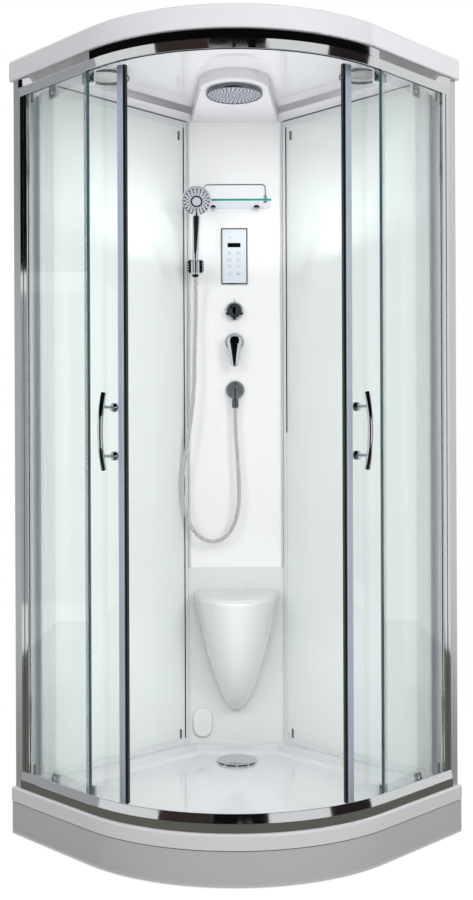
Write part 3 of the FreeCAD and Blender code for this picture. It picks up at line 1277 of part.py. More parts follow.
def make_holder_cradle():
    low = Vector(0, 0, -CRADLE_HALF_HEIGHT)
    high = Vector(0, 0, CRADLE_HALF_HEIGHT)
    ring = rod(low, high, CRADLE_RADIUS)
    pieces = [ring]
    for side in (-1, 1):
        near = side * (HOLDER_BARREL_HALF + CHEEK_GAP)
        far = side * (HOLDER_BARREL_HALF + CHEEK_GAP + CHEEK_THICKNESS)
        x0, x1 = sorted((near, far))
        pieces.append(box(x0, x1, 0.0, HOLDER_PIVOT_BACK, -CHEEK_RADIUS, CHEEK_RADIUS))
        pieces.append(rod(Vector(x0, HOLDER_PIVOT_BACK, 0), Vector(x1, HOLDER_PIVOT_BACK, 0), CHEEK_RADIUS))
        ear_in, ear_out = sorted((side * CRADLE_RADIUS * 0.6, side * EAR_REACH))
        ear = box(ear_in, ear_out, -EAR_DEPTH, EAR_DEPTH, -EAR_HALF_HEIGHT, EAR_HALF_HEIGHT)
        tall = [edge for edge in ear.Edges if edge.BoundBox.ZLength > EAR_HALF_HEIGHT]
        pieces.append(ear.makeFillet(EAR_DEPTH / 3.0, tall))
    cradle = fused(pieces)
    taper = (CRADLE_BORE_TOP - CRADLE_BORE_BOTTOM) / (2.0 * CRADLE_HALF_HEIGHT)
    extra = EAR_HALF_HEIGHT + 1.0
    bore = cone(Vector(0, 0, -extra), Vector(0, 0, extra),
                CRADLE_BORE_BOTTOM - taper * (extra - CRADLE_HALF_HEIGHT),
                CRADLE_BORE_TOP + taper * (extra - CRADLE_HALF_HEIGHT))
    slot = box(-CRADLE_SLOT_HALF, CRADLE_SLOT_HALF, -2.0 * CRADLE_RADIUS, 0.0, -extra, extra)
    pin_half = RIGHT * (2.0 * HOLDER_PIN_HALF)
    hub = Vector(0, HOLDER_PIVOT_BACK, 0)
    pin_hole = rod(hub - pin_half, hub + pin_half, HOLDER_PIN_RADIUS + RUNNING_FIT)
    barrel_half = RIGHT * (HOLDER_BARREL_HALF + CHEEK_GAP)
    barrel_room = rod(hub - barrel_half, hub + barrel_half, HOLDER_BARREL_RADIUS + 1.0)
    return holder_frame(cradle.cut(bore).cut(slot).cut(pin_hole).cut(barrel_room))


def make_handset():
    taper = (CRADLE_BORE_TOP - CRADLE_BORE_BOTTOM) / (2.0 * CRADLE_HALF_HEIGHT)
    grip_low = -CRADLE_HALF_HEIGHT - 2.0
    plug_top = EAR_HALF_HEIGHT
    plug = cone(Vector(0, 0, grip_low), Vector(0, 0, plug_top),
                CRADLE_BORE_BOTTOM - taper * 2.0 - HANDLE_CLEARANCE,
                CRADLE_BORE_TOP + taper * 2.0 - HANDLE_CLEARANCE)
    stem = cone(Vector(0, 0, plug_top), Vector(0, 0, HANDLE_TOP_Z), HANDLE_LOW_RADIUS, HANDLE_TOP_RADIUS)
    neck = rod(Vector(0, 0, HANDLE_TOP_Z), Vector(0, 0, HEAD_CENTRE), HANDLE_TOP_RADIUS - 1.0)
    nut = rod(Vector(0, 0, HANDSET_BOTTOM), Vector(0, 0, grip_low), HOSE_NUT_RADIUS)
    face = Vector(0, HEAD_FRONT, HEAD_CENTRE)
    rim_back = face + BACK * HEAD_DEPTH
    head = rod(face, rim_back, HEAD_RADIUS)
    dome = cone(rim_back, rim_back + BACK * HEAD_BACK_DOME, HEAD_RADIUS, HEAD_BACK_RADIUS)
    spray = fused([head, dome])
    spray.rotate(Vector(0, 0, HEAD_CENTRE), RIGHT, HEAD_TILT)
    return holder_frame(fused([plug, stem, neck, nut, spray]))


def handset_end():
    """Middle of the nut's lower face, where the hose goes in."""
    end = FreeCAD.Rotation(RIGHT, HANDSET_TILT).multVec(Vector(0, 0, HANDSET_BOTTOM))
    return Vector(HOLDER_X, HOLDER_AXIS_Y, HOLDER_Z) + end


def make_shower_hose():
    end = handset_end()
    handset_line = FreeCAD.Rotation(RIGHT, HANDSET_TILT).multVec(UP)
    points = [Vector(*point) for point in HOSE_POINTS] + [end - handset_line * HOSE_LAST_RUN, end]
    radii = corner_radii(points)
    hose, length = tube(points, HOSE_RADIUS, radii)
    full = math.pi * HOSE_RADIUS ** 2 * length
    print("hose length", round(length, 1), "smallest radius", round(min(radii), 1),
          "volume share", round(hose.Volume / full, 4))
    print("hose radii", [round(radius) for radius in radii])
    return hose


# ---------------------------------------------------------------- doors
DOOR_MIDDLE = (DOOR_LEAD_ANGLE + DOOR_REAR_ANGLE) / 2.0
LEAD_END = DOOR_LEAD_ANGLE - arc_degrees(DOOR_MEETING_GAP)
GLASS_LEAD = LEAD_END - arc_degrees(MAGNET_LENGTH + SEAL_LENGTH)
GLASS_REAR = DOOR_REAR_ANGLE + arc_degrees(SEAL_LENGTH)
ROLLER_ANGLES = (DOOR_MIDDLE + ROLLER_HALF_ANGLE, DOOR_MIDDLE - ROLLER_HALF_ANGLE)


def door_pole():
    """Point about which one turn carries the closed right door to its open place.

    The closed door's rollers lie on the bend and the open door's on the straight.
    """
    half_chord = TRACK_RADIUS * math.sin(math.radians(ROLLER_HALF_ANGLE))
    closed = polar(TRACK_RADIUS, ROLLER_ANGLES[0])
    opened = plan(BEND + TRACK_RADIUS, DOOR_OPEN_FROM_WALL + half_chord)
    shift = opened - closed
    side = Vector(-shift.y, shift.x, 0).normalize()
    reach = shift.Length / 2.0 / math.tan(math.radians(DOOR_MIDDLE) / 2.0)
    middle = (closed + opened) * 0.5
    return middle + side * reach


def opened(shape):
    """Carry a shape drawn on the closed right door to its open place."""
    shape.rotate(door_pole(), UP, DOOR_MIDDLE)
    return shape


def door_plate(clearance):
    return arc_block(DOOR_BACK - clearance, DOOR_FACE + clearance, GLASS_REAR - arc_degrees(clearance),
                     GLASS_LEAD + arc_degrees(clearance), DOOR_BOTTOM, DOOR_TOP)


def grip_angle():
    return LEAD_END - arc_degrees(GRIP_FROM_EDGE)


def grip_levels():
    return (GRIP_Z - GRIP_STAND_HALF, GRIP_Z + GRIP_STAND_HALF)


def bolt_levels():
    """Heights of the carriers' and the guides' bolts."""
    return (DOOR_TOP - CARRIER_OVERLAP / 2.0, DOOR_BOTTOM + (GUIDE_TOP - DOOR_BOTTOM) / 2.0)


def across_glass(angle, z, start, end, radius):
    """Round bar square to the glass between two radii."""
    return rod(polar(start, angle, z), polar(end, angle, z), radius)


def make_door_glass():
    glass = door_plate(0.0)
    cuts = []
    for z in grip_levels():
        cuts.append(across_glass(grip_angle(), z, DOOR_BACK - 1.0, DOOR_FACE + 1.0, GRIP_BOLT_RADIUS + 1.0))
    for angle in ROLLER_ANGLES:
        for z in bolt_levels():
            cuts.append(across_glass(angle, z, DOOR_BACK - 1.0, DOOR_FACE + 1.0, CARRIER_BOLT_RADIUS + 1.0))
    return opened(glass.cut(Part.makeCompound(cuts)))


def make_grip():
    angle = grip_angle()
    middle = DOOR_FACE + GRIP_MIDDLE_REACH
    ends = middle - GRIP_BOW
    low = polar(ends, angle, GRIP_Z - GRIP_HALF_LENGTH)
    mid = polar(middle, angle, GRIP_Z)
    high = polar(ends, angle, GRIP_Z + GRIP_HALF_LENGTH)
    curve = Part.Arc(low, mid, high)
    path = Part.Wire(curve.toShape())
    start_direction = curve.tangent(curve.FirstParameter)[0]
    ring = Part.Wire(Part.Circle(low, start_direction, GRIP_RADIUS).toShape())
    bar = path.makePipeShell([ring], True, True)
    bow_radius = (GRIP_HALF_LENGTH ** 2 + GRIP_BOW ** 2) / (2.0 * GRIP_BOW)
    drop = bow_radius - math.sqrt(bow_radius ** 2 - GRIP_STAND_HALF ** 2)
    pieces = [bar]
    knobs = []
    for z in grip_levels():
        pieces.append(across_glass(angle, z, DOOR_FACE + FACE_GAP, middle - drop, GRIP_STAND_RADIUS))
        pieces.append(cone(polar(DOOR_FACE + FACE_GAP, angle, z),
                           polar(DOOR_FACE + FACE_GAP + GRIP_BASE_DEPTH, angle, z),
                           GRIP_BASE_RADIUS, GRIP_STAND_RADIUS))
        knob = across_glass(angle, z, DOOR_BACK - FACE_GAP - GRIP_KNOB_DEPTH, DOOR_BACK - FACE_GAP,
                            GRIP_KNOB_RADIUS)
        bolt = across_glass(angle, z, DOOR_BACK - FACE_GAP - 1.0, DOOR_FACE + FACE_GAP, GRIP_BOLT_RADIUS)
        knobs.append(fused([knob, bolt]))
    return opened(Part.makeCompound([fused(pieces)] + knobs))


def make_magnetic_seal():
    start = LEAD_END - arc_degrees(MAGNET_LENGTH)
    half = MAGNET_THICKNESS / 2.0
    return opened(arc_block(DOOR_RADIUS - half, DOOR_RADIUS + half, start, LEAD_END,
                            DOOR_BOTTOM, DOOR_TOP))


def make_edge_seals():
    half = SEAL_THICKNESS / 2.0
    lead = arc_block(DOOR_RADIUS - half, DOOR_RADIUS + half, GLASS_LEAD - arc_degrees(SEAL_OVERLAP),
                     LEAD_END - arc_degrees(MAGNET_LENGTH), DOOR_BOTTOM, DOOR_TOP)
    rear = arc_block(DOOR_RADIUS - half, DOOR_RADIUS + half, DOOR_REAR_ANGLE,
                     GLASS_REAR + arc_degrees(SEAL_OVERLAP), DOOR_BOTTOM, DOOR_TOP)
    glass = door_plate(0.0)
    return opened(Part.makeCompound([lead.cut(glass), rear.cut(glass)]))


def glass_bolt(angle, z, inner):
    """Bolt through the glass with a round cap on the outside."""
    shank = across_glass(angle, z, inner, DOOR_FACE + FACE_GAP, CARRIER_BOLT_RADIUS)
    cap = across_glass(angle, z, DOOR_FACE + FACE_GAP, DOOR_FACE + FACE_GAP + CARRIER_CAP,
                       CARRIER_CAP_RADIUS)
    return [shank, cap]


def make_roller_carriers():
    pieces = []
    rear_face = DOOR_BACK - FACE_GAP
    carrier_turn = arc_degrees(CARRIER_HALF_WIDTH)
    guide_turn = arc_degrees(GUIDE_HALF_WIDTH)
    top_bolt, low_bolt = bolt_levels()
    wheel_outer = TRACK_RADIUS + WHEEL_WIDTH / 2.0 + WHEEL_GAP
    for angle in ROLLER_ANGLES:
        plate = arc_block(rear_face - CARRIER_THICKNESS, rear_face, angle - carrier_turn,
                          angle + carrier_turn, DOOR_TOP - CARRIER_OVERLAP, CARRIER_TOP)
        axle = across_glass(angle, WHEEL_Z, rear_face - CARRIER_THICKNESS / 2.0, wheel_outer, AXLE_RADIUS)
        head = across_glass(angle, WHEEL_Z, wheel_outer, wheel_outer + AXLE_HEAD, AXLE_HEAD_RADIUS)
        pieces.append(fused([plate, axle, head] + glass_bolt(angle, top_bolt, rear_face - 1.0)))
        block = arc_block(rear_face - GUIDE_THICKNESS, rear_face, angle - guide_turn,
                          angle + guide_turn, GUIDE_BOTTOM, GUIDE_TOP)
        foot = arc_block(rear_face - 1.0, GUIDE_FOOT_EDGE, angle - guide_turn, angle + guide_turn,
                         GUIDE_BOTTOM, GUIDE_FOOT_TOP)
        pieces.append(fused([block, foot] + glass_bolt(angle, low_bolt, rear_face - 1.0)))
    return opened(Part.makeCompound(pieces))


def make_wheel(angle):
    inner = TRACK_RADIUS - WHEEL_WIDTH / 2.0
    outer = TRACK_RADIUS + WHEEL_WIDTH / 2.0
    tyre = across_glass(angle, WHEEL_Z, inner, outer, WHEEL_RADIUS)
    return opened(tyre.cut(across_glass(angle, WHEEL_Z, inner - 1.0, outer + 1.0, AXLE_RADIUS + RUNNING_FIT)))


def door_nodes():
    return {
        "door_glass": make_door_glass(),
        "handle": make_grip(),
        "magnetic_seal": make_magnetic_seal(),
        "edge_seals": make_edge_seals(),
        "roller_carriers": make_roller_carriers(),
        "front_wheel": make_wheel(ROLLER_ANGLES[0]),
        "rear_wheel": make_wheel(ROLLER_ANGLES[1]),
    }


# ---------------------------------------------------------------- all pieces
def build():
    wall_panel = panel_glass(0.0)
    fixed_pane = pane(0.0)
    nodes = {
        "tray": make_tray(),
        "apron": make_apron(),
        "tray_frame": make_tray_frame(),
        "levelling_feet": make_levelling_feet(),
        "waste_trap": make_waste_trap(),
        "waste_cover": make_waste_cover(),
        "wall_panel_right": wall_panel,
        "wall_panel_left": mirrored(wall_panel),
        "wall_frames": make_wall_frames(),
        "panel_clips": make_panel_clips(),
        "column_panel": make_column_panel(),
        "column_frame": make_column_frame(),
        "column_trims": make_column_trims(),
        "seat_module": make_seat_module(),
        "steam_outlet": make_steam_outlet(),
        "wall_posts": make_wall_posts(),
        "glazing_strips": make_glazing_strips(),
        "top_rail": make_top_rail(),
        "bottom_rail": make_bottom_rail(),
        "fixed_glass_right": fixed_pane,
        "fixed_glass_left": mirrored(fixed_pane),
        "fixed_seals": make_fixed_seals(),
        "roof": make_roof(),
        "rain_head": make_rain_head(),
        "fixture_rings": make_fixture_rings(),
        "light_lens": make_light_lens(),
        "fan_housing": make_fan_housing(),
        "fan_rotor": make_fan_rotor(),
        "control_bezel": make_control_bezel(),
        "control_face": make_control_face(),
        "control_box": make_control_box(),
        "valve_rosettes": make_valve_rosettes(),
        "hose_outlet": make_hose_outlet(),
        "diverter_knob": make_diverter_knob(),
        "mixer_cap": make_mixer_cap(),
        "mixer_lever": make_mixer_lever(),
        "valve_block": make_valve_block(),
        "water_pipes": make_water_pipes(),
        "steam_generator": make_steam_generator(),
        "shelf_glass": shelf_plate(0.0),
        "shelf_rail": make_shelf_rail(),
        "holder_bracket": make_holder_bracket(),
        "holder_cradle": make_holder_cradle(),
        "handset": make_handset(),
        "shower_hose": make_shower_hose(),
    }
    for name, shape in door_nodes().items():
        nodes[name + "_right"] = shape
        nodes[name + "_left"] = mirrored(shape)
    return nodes


NODES = build()
os.makedirs("parts", exist_ok=True)
for node, shape in NODES.items():
    shape.exportStep("parts/" + node + ".step")
pole = door_pole()
pivot = holder_pivot()
pin = lever_pin()
print("nodes", len(NODES))
print("door pole", round(pole.x, 3), round(pole.y, 3), "turn", round(DOOR_MIDDLE, 3))
print("holder pivot", round(pivot.y, 3), round(pivot.z, 3))
print("lever pin", round(pin.y, 3), round(pin.z, 3))
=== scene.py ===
"""Quadrant steam shower cabin, dressed as its photograph shows it.

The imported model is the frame: +Z is up, the curved front faces -Y, the room corner
is at +Y, and the doors are slid open at rest. Everything is in metres. Each
sub-assembly is a class that builds and dresses its own pieces.
"""

import json
import logging
import math
from dataclasses import dataclass
from enum import Enum
from typing import Iterable, Mapping, Optional, Sequence

import bmesh
import bpy
from mathutils import Matrix, Vector

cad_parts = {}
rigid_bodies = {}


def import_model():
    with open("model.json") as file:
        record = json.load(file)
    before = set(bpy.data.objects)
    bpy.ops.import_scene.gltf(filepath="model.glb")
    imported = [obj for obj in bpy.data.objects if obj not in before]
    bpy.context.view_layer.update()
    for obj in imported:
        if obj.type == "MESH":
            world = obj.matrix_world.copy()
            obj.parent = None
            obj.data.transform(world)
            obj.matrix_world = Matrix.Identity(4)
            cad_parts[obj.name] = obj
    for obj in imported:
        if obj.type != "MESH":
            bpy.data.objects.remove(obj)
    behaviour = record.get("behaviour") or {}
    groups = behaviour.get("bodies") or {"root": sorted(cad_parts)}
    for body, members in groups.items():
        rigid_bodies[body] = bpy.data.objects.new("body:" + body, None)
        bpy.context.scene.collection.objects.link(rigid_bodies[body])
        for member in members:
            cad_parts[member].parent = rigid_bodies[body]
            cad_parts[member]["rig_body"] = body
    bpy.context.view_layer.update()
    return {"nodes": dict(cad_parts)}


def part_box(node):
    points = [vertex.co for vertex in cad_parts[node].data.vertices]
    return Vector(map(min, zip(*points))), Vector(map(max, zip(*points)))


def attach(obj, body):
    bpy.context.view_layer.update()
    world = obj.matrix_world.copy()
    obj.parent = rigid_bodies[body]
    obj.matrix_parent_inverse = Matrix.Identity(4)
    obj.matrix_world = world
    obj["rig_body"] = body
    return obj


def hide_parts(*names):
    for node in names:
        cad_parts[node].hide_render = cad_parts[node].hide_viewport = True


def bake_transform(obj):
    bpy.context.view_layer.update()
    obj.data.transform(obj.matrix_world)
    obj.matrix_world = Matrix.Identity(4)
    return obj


LOG = logging.getLogger("steam_shower")
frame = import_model()
MM = 0.001
IMAGE_HEIGHT = 900
UP = Vector((0.0, 0.0, 1.0))
RIGHT = Vector((1.0, 0.0, 0.0))
FRONT = Vector((0.0, -1.0, 0.0))
WELD = 1e-6
CAD_WELD = 2e-6
LATHE_WELD = 1e-7
SMOOTH_ANGLE = math.radians(32.0)
FLAT_ANGLE = math.radians(0.3)
SHARP_ANGLE = math.radians(50.0)
RAIL_SHARP_ANGLE = math.radians(12.0)
CURVE_STEPS = 96
TURN_STEPS = 64
STUD_STEPS = 10
FACE_WEIGHT = 80

Point = tuple[float, float, float]
Profile = Sequence[tuple[float, float]]
Colour = tuple[int, int, int]
Node = bpy.types.Node
Socket = bpy.types.NodeSocket
Piece = bpy.types.Object
BMesh = bmesh.types.BMesh


# ---------------------------------------------------------------- footprint
@dataclass(frozen=True)
class Footprint:
    """Plan of the cabin: two wall sides of one length and a curved front."""

    wall: float = 900 * MM
    radius: float = 550 * MM

    @property
    def bend(self) -> float:
        """Distance of the bend's centre from each wall."""
        return self.wall - self.radius

    @property
    def corner_y(self) -> float:
        """Y of the room corner."""
        return (self.bend * math.sqrt(2.0) + self.radius) / 2.0

    def plan(self, p: float, q: float, z: float = 0.0) -> Vector:
        """Point given by its distances along the right and left back walls.

        Args:
            p: distance along the right-hand wall.
            q: distance along the left-hand wall.
            z: height.

        Returns:
            The point in the row frame.
        """
        root = math.sqrt(2.0)
        return Vector(((p - q) / root, self.corner_y - (p + q) / root, z))

    def polar(self, radius: float, angle: float, z: float = 0.0) -> Vector:
        """Point about the bend's centre.

        Args:
            radius: distance from the bend's centre.
            angle: degrees from the right-hand junction.
            z: height.

        Returns:
            The point in the row frame.
        """
        turn = math.radians(angle)
        return self.plan(self.bend + radius * math.cos(turn), self.bend + radius * math.sin(turn), z)

    def wall_frame(self, side: float) -> Matrix:
        """Matrix from (p, q, z) distances to the row frame, for the right (1) or left (-1) side."""
        root = 1.0 / math.sqrt(2.0)
        return Matrix(((side * root, -side * root, 0.0, 0.0), (-root, -root, 0.0, self.corner_y),
                       (0.0, 0.0, 1.0, 0.0), (0.0, 0.0, 0.0, 1.0)))


PLAN = Footprint()


def corners(node: str) -> tuple[Vector, Vector]:
    """Lowest and highest corner of a CAD node's box."""
    low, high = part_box(node)
    return Vector(low), Vector(high)


# ---------------------------------------------------------------- shader graphs
def tone(red: int, green: int, blue: int) -> tuple[float, float, float, float]:
    """Scene-linear colour of a display colour.

    Args:
        red: red, 0 to 255.
        green: green, 0 to 255.
        blue: blue, 0 to 255.

    Returns:
        The colour with an alpha of 1.
    """
    def lift(value: int) -> float:
        """One channel made linear."""
        share = value / 255.0
        return share / 12.92 if share <= 0.04045 else ((share + 0.055) / 1.055) ** 2.4

    return (lift(red), lift(green), lift(blue), 1.0)


class Graph:
    """A node tree with short calls for adding and linking nodes."""

    def __init__(self, tree: bpy.types.NodeTree) -> None:
        """Wrap a tree.

        Args:
            tree: the tree to build in.
        """
        self.tree = tree

    def add(self, kind: str, inputs: Optional[dict] = None, **settings: object) -> Node:
        """Add a node.

        Args:
            kind: the node's type name.
            inputs: values or output sockets for its inputs, by name or number.
            **settings: properties of the node.

        Returns:
            The new node.
        """
        node = self.tree.nodes.new(kind)
        for name, value in settings.items():
            setattr(node, name, value)
        for name, value in (inputs or {}).items():
            self.feed(node.inputs[name], value)
        return node

    def feed(self, socket: Socket, value: object) -> None:
        """Set a socket's value, or link an output to it."""
        if isinstance(value, Socket):
            self.tree.links.new(value, socket)
        else:
            socket.default_value = value

    def rays(self, *kinds: str) -> Socket:
        """Share that is 1 for rays of these kinds and 0 for all others."""
        path = self.add("ShaderNodeLightPath").outputs
        share = path[kinds[0]]
        for kind in kinds[1:]:
            either = self.add("ShaderNodeMath", {0: share, 1: path[kind]}, operation="MAXIMUM")
            share = either.outputs["Value"]
        return share


class SharedGroups:
    """Shader groups that several finishes use, each built once."""

    _made: dict[str, bpy.types.NodeTree] = {}

    @classmethod
    def _start(cls, name: str, inputs: dict[str, float], outputs: Sequence[str]) -> Optional[Graph]:
        """Open a new group, or return None if it is already there.

        Args:
            name: the group's name.
            inputs: float inputs and their defaults.
            outputs: float outputs.

        Returns:
            The graph to fill in.
        """
        if name in cls._made:
            return None
        tree = bpy.data.node_groups.new(name, "ShaderNodeTree")
        for label, value in inputs.items():
            socket = tree.interface.new_socket(name=label, in_out="INPUT", socket_type="NodeSocketFloat")
            socket.default_value = value
        for label in outputs:
            tree.interface.new_socket(name=label, in_out="OUTPUT", socket_type="NodeSocketFloat")
        cls._made[name] = tree
        return Graph(tree)

    @classmethod
    def moulding(cls) -> bpy.types.NodeTree:
        """Slow waviness and fine orange peel of moulded or rolled sheet."""
        graph = cls._start("moulded_surface", {"Peel Scale": 220.0, "Wave Scale": 6.0, "Wave Share": 0.5},
                           ("Height", "Cloud"))
        if graph:
            entry = graph.add("NodeGroupInput")
            place = graph.add("ShaderNodeTexCoord").outputs["Object"]
            peel = graph.add("ShaderNodeTexNoise", {"Vector": place, "Scale": entry.outputs["Peel Scale"],
                                                    "Detail": 2.0, "Roughness": 0.5})
            wave = graph.add("ShaderNodeTexNoise", {"Vector": place, "Scale": entry.outputs["Wave Scale"],
                                                    "Detail": 1.0, "Roughness": 0.4})
            mixed = graph.add("ShaderNodeMix", {"Factor": entry.outputs["Wave Share"],
                                                "A": peel.outputs["Fac"], "B": wave.outputs["Fac"]})
            graph.add("NodeGroupOutput", {"Height": mixed.outputs["Result"], "Cloud": wave.outputs["Fac"]})
        return cls._made["moulded_surface"]

    @classmethod
    def brushing(cls) -> bpy.types.NodeTree:
        """Fine lines drawn along a profile, as satin anodised metal has."""
        graph = cls._start("drawn_lines", {"Along X": 400.0, "Along Y": 400.0, "Along Z": 3.0},
                           ("Height", "Streak"))
        if graph:
            entry = graph.add("NodeGroupInput")
            place = graph.add("ShaderNodeTexCoord").outputs["Object"]
            scale = graph.add("ShaderNodeCombineXYZ", {"X": entry.outputs["Along X"],
                                                       "Y": entry.outputs["Along Y"],
                                                       "Z": entry.outputs["Along Z"]})
            stretched = graph.add("ShaderNodeVectorMath", {0: place, 1: scale.outputs["Vector"]},
                                  operation="MULTIPLY")
            lines = graph.add("ShaderNodeTexNoise", {"Vector": stretched.outputs["Vector"], "Scale": 1.0,
                                                     "Detail": 3.0, "Roughness": 0.6})
            graph.add("NodeGroupOutput", {"Height": lines.outputs["Fac"], "Streak": lines.outputs["Fac"]})
        return cls._made["drawn_lines"]

    @classmethod
    def smears(cls) -> bpy.types.NodeTree:
        """Faint wiping marks that change the gloss of glass and plated metal."""
        graph = cls._start("wiping_marks", {"Scale": 9.0, "Low": 0.02, "High": 0.08},
                           ("Roughness", "Mask"))
        if graph:
            entry = graph.add("NodeGroupInput")
            place = graph.add("ShaderNodeTexCoord").outputs["Object"]
            cloud = graph.add("ShaderNodeTexNoise", {"Vector": place, "Scale": entry.outputs["Scale"],
                                                     "Detail": 4.0, "Roughness": 0.62, "Distortion": 1.4})
            ranged = graph.add("ShaderNodeMapRange", {"Value": cloud.outputs["Fac"], "From Min": 0.35,
                                                      "From Max": 0.7, "To Min": entry.outputs["Low"],
                                                      "To Max": entry.outputs["High"]})
            graph.add("NodeGroupOutput", {"Roughness": ranged.outputs["Result"],
                                          "Mask": cloud.outputs["Fac"]})
        return cls._made["wiping_marks"]


class Surface(Graph):
    """A new material's graph, with one principled shader if it is given a colour."""

    def __init__(self, name: str, colour: Optional[Colour] = None) -> None:
        """Make the material.

        Args:
            name: the material's name.
            colour: its display colour.
        """
        self.material = bpy.data.materials.new(name)
        self.material.use_nodes = True
        self.material.node_tree.nodes.clear()
        super().__init__(self.material.node_tree)
        if colour:
            self.base = tone(*colour)
            self.material.diffuse_color = self.base
            self.shader = self.add("ShaderNodeBsdfPrincipled", {"Base Color": self.base})

    def set(self, **values: object) -> None:
        """Set or link the shader's inputs, whose names are given with _ for a space."""
        for name, value in values.items():
            self.feed(self.shader.inputs[name.replace("_", " ")], value)

    def shown(self, surface: Socket) -> bpy.types.Material:
        """Show an output as the surface; returns the material."""
        self.add("ShaderNodeOutputMaterial", {"Surface": surface})
        return self.material

    def two_tones(self, mask: Socket, depth: float) -> None:
        """Let the colour drift, as the mask does, to a second tone that is darker by a share."""
        dark = tuple(channel * (1.0 - depth) for channel in self.base[:3]) + (1.0,)
        mixed = self.add("ShaderNodeMix", {"Factor": mask, 6: self.base, 7: dark}, data_type="RGBA")
        self.set(Base_Color=mixed.outputs[2])

    def moulded(self, **inputs: float) -> Mapping[str, Socket]:
        """Outputs of the shared moulded surface, whose inputs are given with _ for a space."""
        values = {name.replace("_", " "): value for name, value in inputs.items()}
        return self.add("ShaderNodeGroup", values, node_tree=SharedGroups.moulding()).outputs

    def wiped(self, scale: float, low: float, high: float) -> Socket:
        """Let wiping marks change the gloss.

        Args:
            scale: how many marks go into a metre.
            low: least roughness.
            high: most roughness.

        Returns:
            The marks' mask.
        """
        marks = self.add("ShaderNodeGroup", {"Scale": scale, "Low": low, "High": high},
                         node_tree=SharedGroups.smears())
        self.set(Roughness=marks.outputs["Roughness"])
        return marks.outputs["Mask"]

    def uneven(self, height: Socket, low: float, high: float) -> None:
        """Let the roughness follow a height between two values."""
        ranged = self.add("ShaderNodeMapRange", {"Value": height, "From Min": 0.3, "From Max": 0.7,
                                                 "To Min": low, "To Max": high})
        self.set(Roughness=ranged.outputs["Result"])

    def relief(self, height: Socket, strength: float, distance: float) -> None:
        """Bend the normal by a height, with a share of the bump and its real depth in metres."""
        bump = self.add("ShaderNodeBump", {"Height": height, "Strength": strength,
                                           "Distance": distance})
        self.set(Normal=bump.outputs["Normal"])


@dataclass(frozen=True)
class Finish:
    """What every finish shares: a name and a display colour."""

    name: str
    colour: Colour

    def material(self) -> bpy.types.Material:
        """The finish as a material, made at the first call, under a name that no CAD slot has."""
        title = "finish_" + self.name
        found = bpy.data.materials.get(title)
        if found:
            return found
        surface = Surface(title, self.colour)
        return surface.shown(self.dress(surface) or surface.shader.outputs["BSDF"])

    def dress(self, surface: Surface) -> Optional[Socket]:
        """Fill in the finish's own nodes; returns the output if it isn't the shader's."""
        raise NotImplementedError


@dataclass(frozen=True)
class Acrylic(Finish):
    """Glossy moulded sheet: tray, roof, seat and column."""

    gloss: float = 0.12
    coat: float = 0.5
    drift: float = 0.03
    peel: float = 0.12

    def dress(self, surface: Surface) -> None:
        """Slight waviness, a clear coat and a faint drift of the white."""
        sheet = surface.moulded()
        surface.two_tones(sheet["Cloud"], self.drift)
        surface.wiped(5.0, self.gloss * 0.8, self.gloss * 1.4)
        surface.set(Coat_Weight=self.coat, Coat_Roughness=0.04, IOR=1.49)
        surface.relief(sheet["Height"], self.peel, 0.4 * MM)


@dataclass(frozen=True)
class Plated(Finish):
    """Polished or plated metal, with faint wiping marks in its gloss."""

    gloss: float = 0.03
    marks: float = 0.05

    def dress(self, surface: Surface) -> None:
        """Full metal with a gloss that changes a little."""
        surface.set(Metallic=1.0)
        surface.two_tones(surface.wiped(14.0, self.gloss, self.gloss + self.marks), 0.05)


@dataclass(frozen=True)
class Satin(Finish):
    """Satin anodised aluminium, drawn along its length."""

    gloss: float = 0.3
    metal: float = 1.0
    along: Point = (420.0, 420.0, 2.5)

    def dress(self, surface: Surface) -> None:
        """Drawn lines in the gloss, the tone and the relief."""
        surface.set(Metallic=self.metal)
        lines = surface.add("ShaderNodeGroup", dict(zip(("Along X", "Along Y", "Along Z"), self.along)),
                            node_tree=SharedGroups.brushing()).outputs
        surface.uneven(lines["Streak"], self.gloss * 0.8, self.gloss * 1.3)
        surface.two_tones(lines["Streak"], 0.12)
        surface.relief(lines["Height"], 0.12, 0.1 * MM)


@dataclass(frozen=True)
class ClearGlass(Finish):
    """Clear safety glass that lets soft light through to what is behind it."""

    veil: float = 0.96

    def dress(self, surface: Surface) -> Socket:
        """Full transmission with wiping marks, and light let through as shade."""
        surface.set(Transmission_Weight=1.0, IOR=1.5)
        surface.wiped(3.0, 0.0, 0.004)
        clear = surface.add("ShaderNodeBsdfTransparent", {"Color": (self.veil, self.veil, self.veil, 1.0)})
        mixed = surface.add("ShaderNodeMixShader", {
            "Fac": surface.rays("Is Shadow Ray", "Is Diffuse Ray"),
            1: surface.shader.outputs["BSDF"], 2: clear.outputs["BSDF"]})
        return mixed.outputs["Shader"]


@dataclass(frozen=True)
class BackedGlass(Finish):
    """Safety glass with a pale coating on its rear face."""

    def dress(self, surface: Surface) -> None:
        """Even pale body under a clear, nearly flawless coat."""
        surface.two_tones(surface.wiped(2.2, 0.05, 0.11), 0.04)
        surface.set(Coat_Weight=1.0, Coat_Roughness=0.01)


@dataclass(frozen=True)
class Moulded(Finish):
    """Matt or satin plastic and rubber."""

    gloss: float = 0.45
    clear: float = 0.0
    peel: float = 0.25
    shine: float = 0.5

    def dress(self, surface: Surface) -> None:
        """Fine grain, a slow drift of tone and, for seals, some clearness."""
        grain = surface.moulded(Peel_Scale=900.0, Wave_Share=0.15)
        surface.two_tones(grain["Cloud"], 0.1)
        surface.uneven(grain["Height"], self.gloss * 0.85, self.gloss * 1.15)
        surface.set(Transmission_Weight=self.clear, IOR=1.0 + self.shine)
        surface.relief(grain["Height"], self.peel, 0.15 * MM)


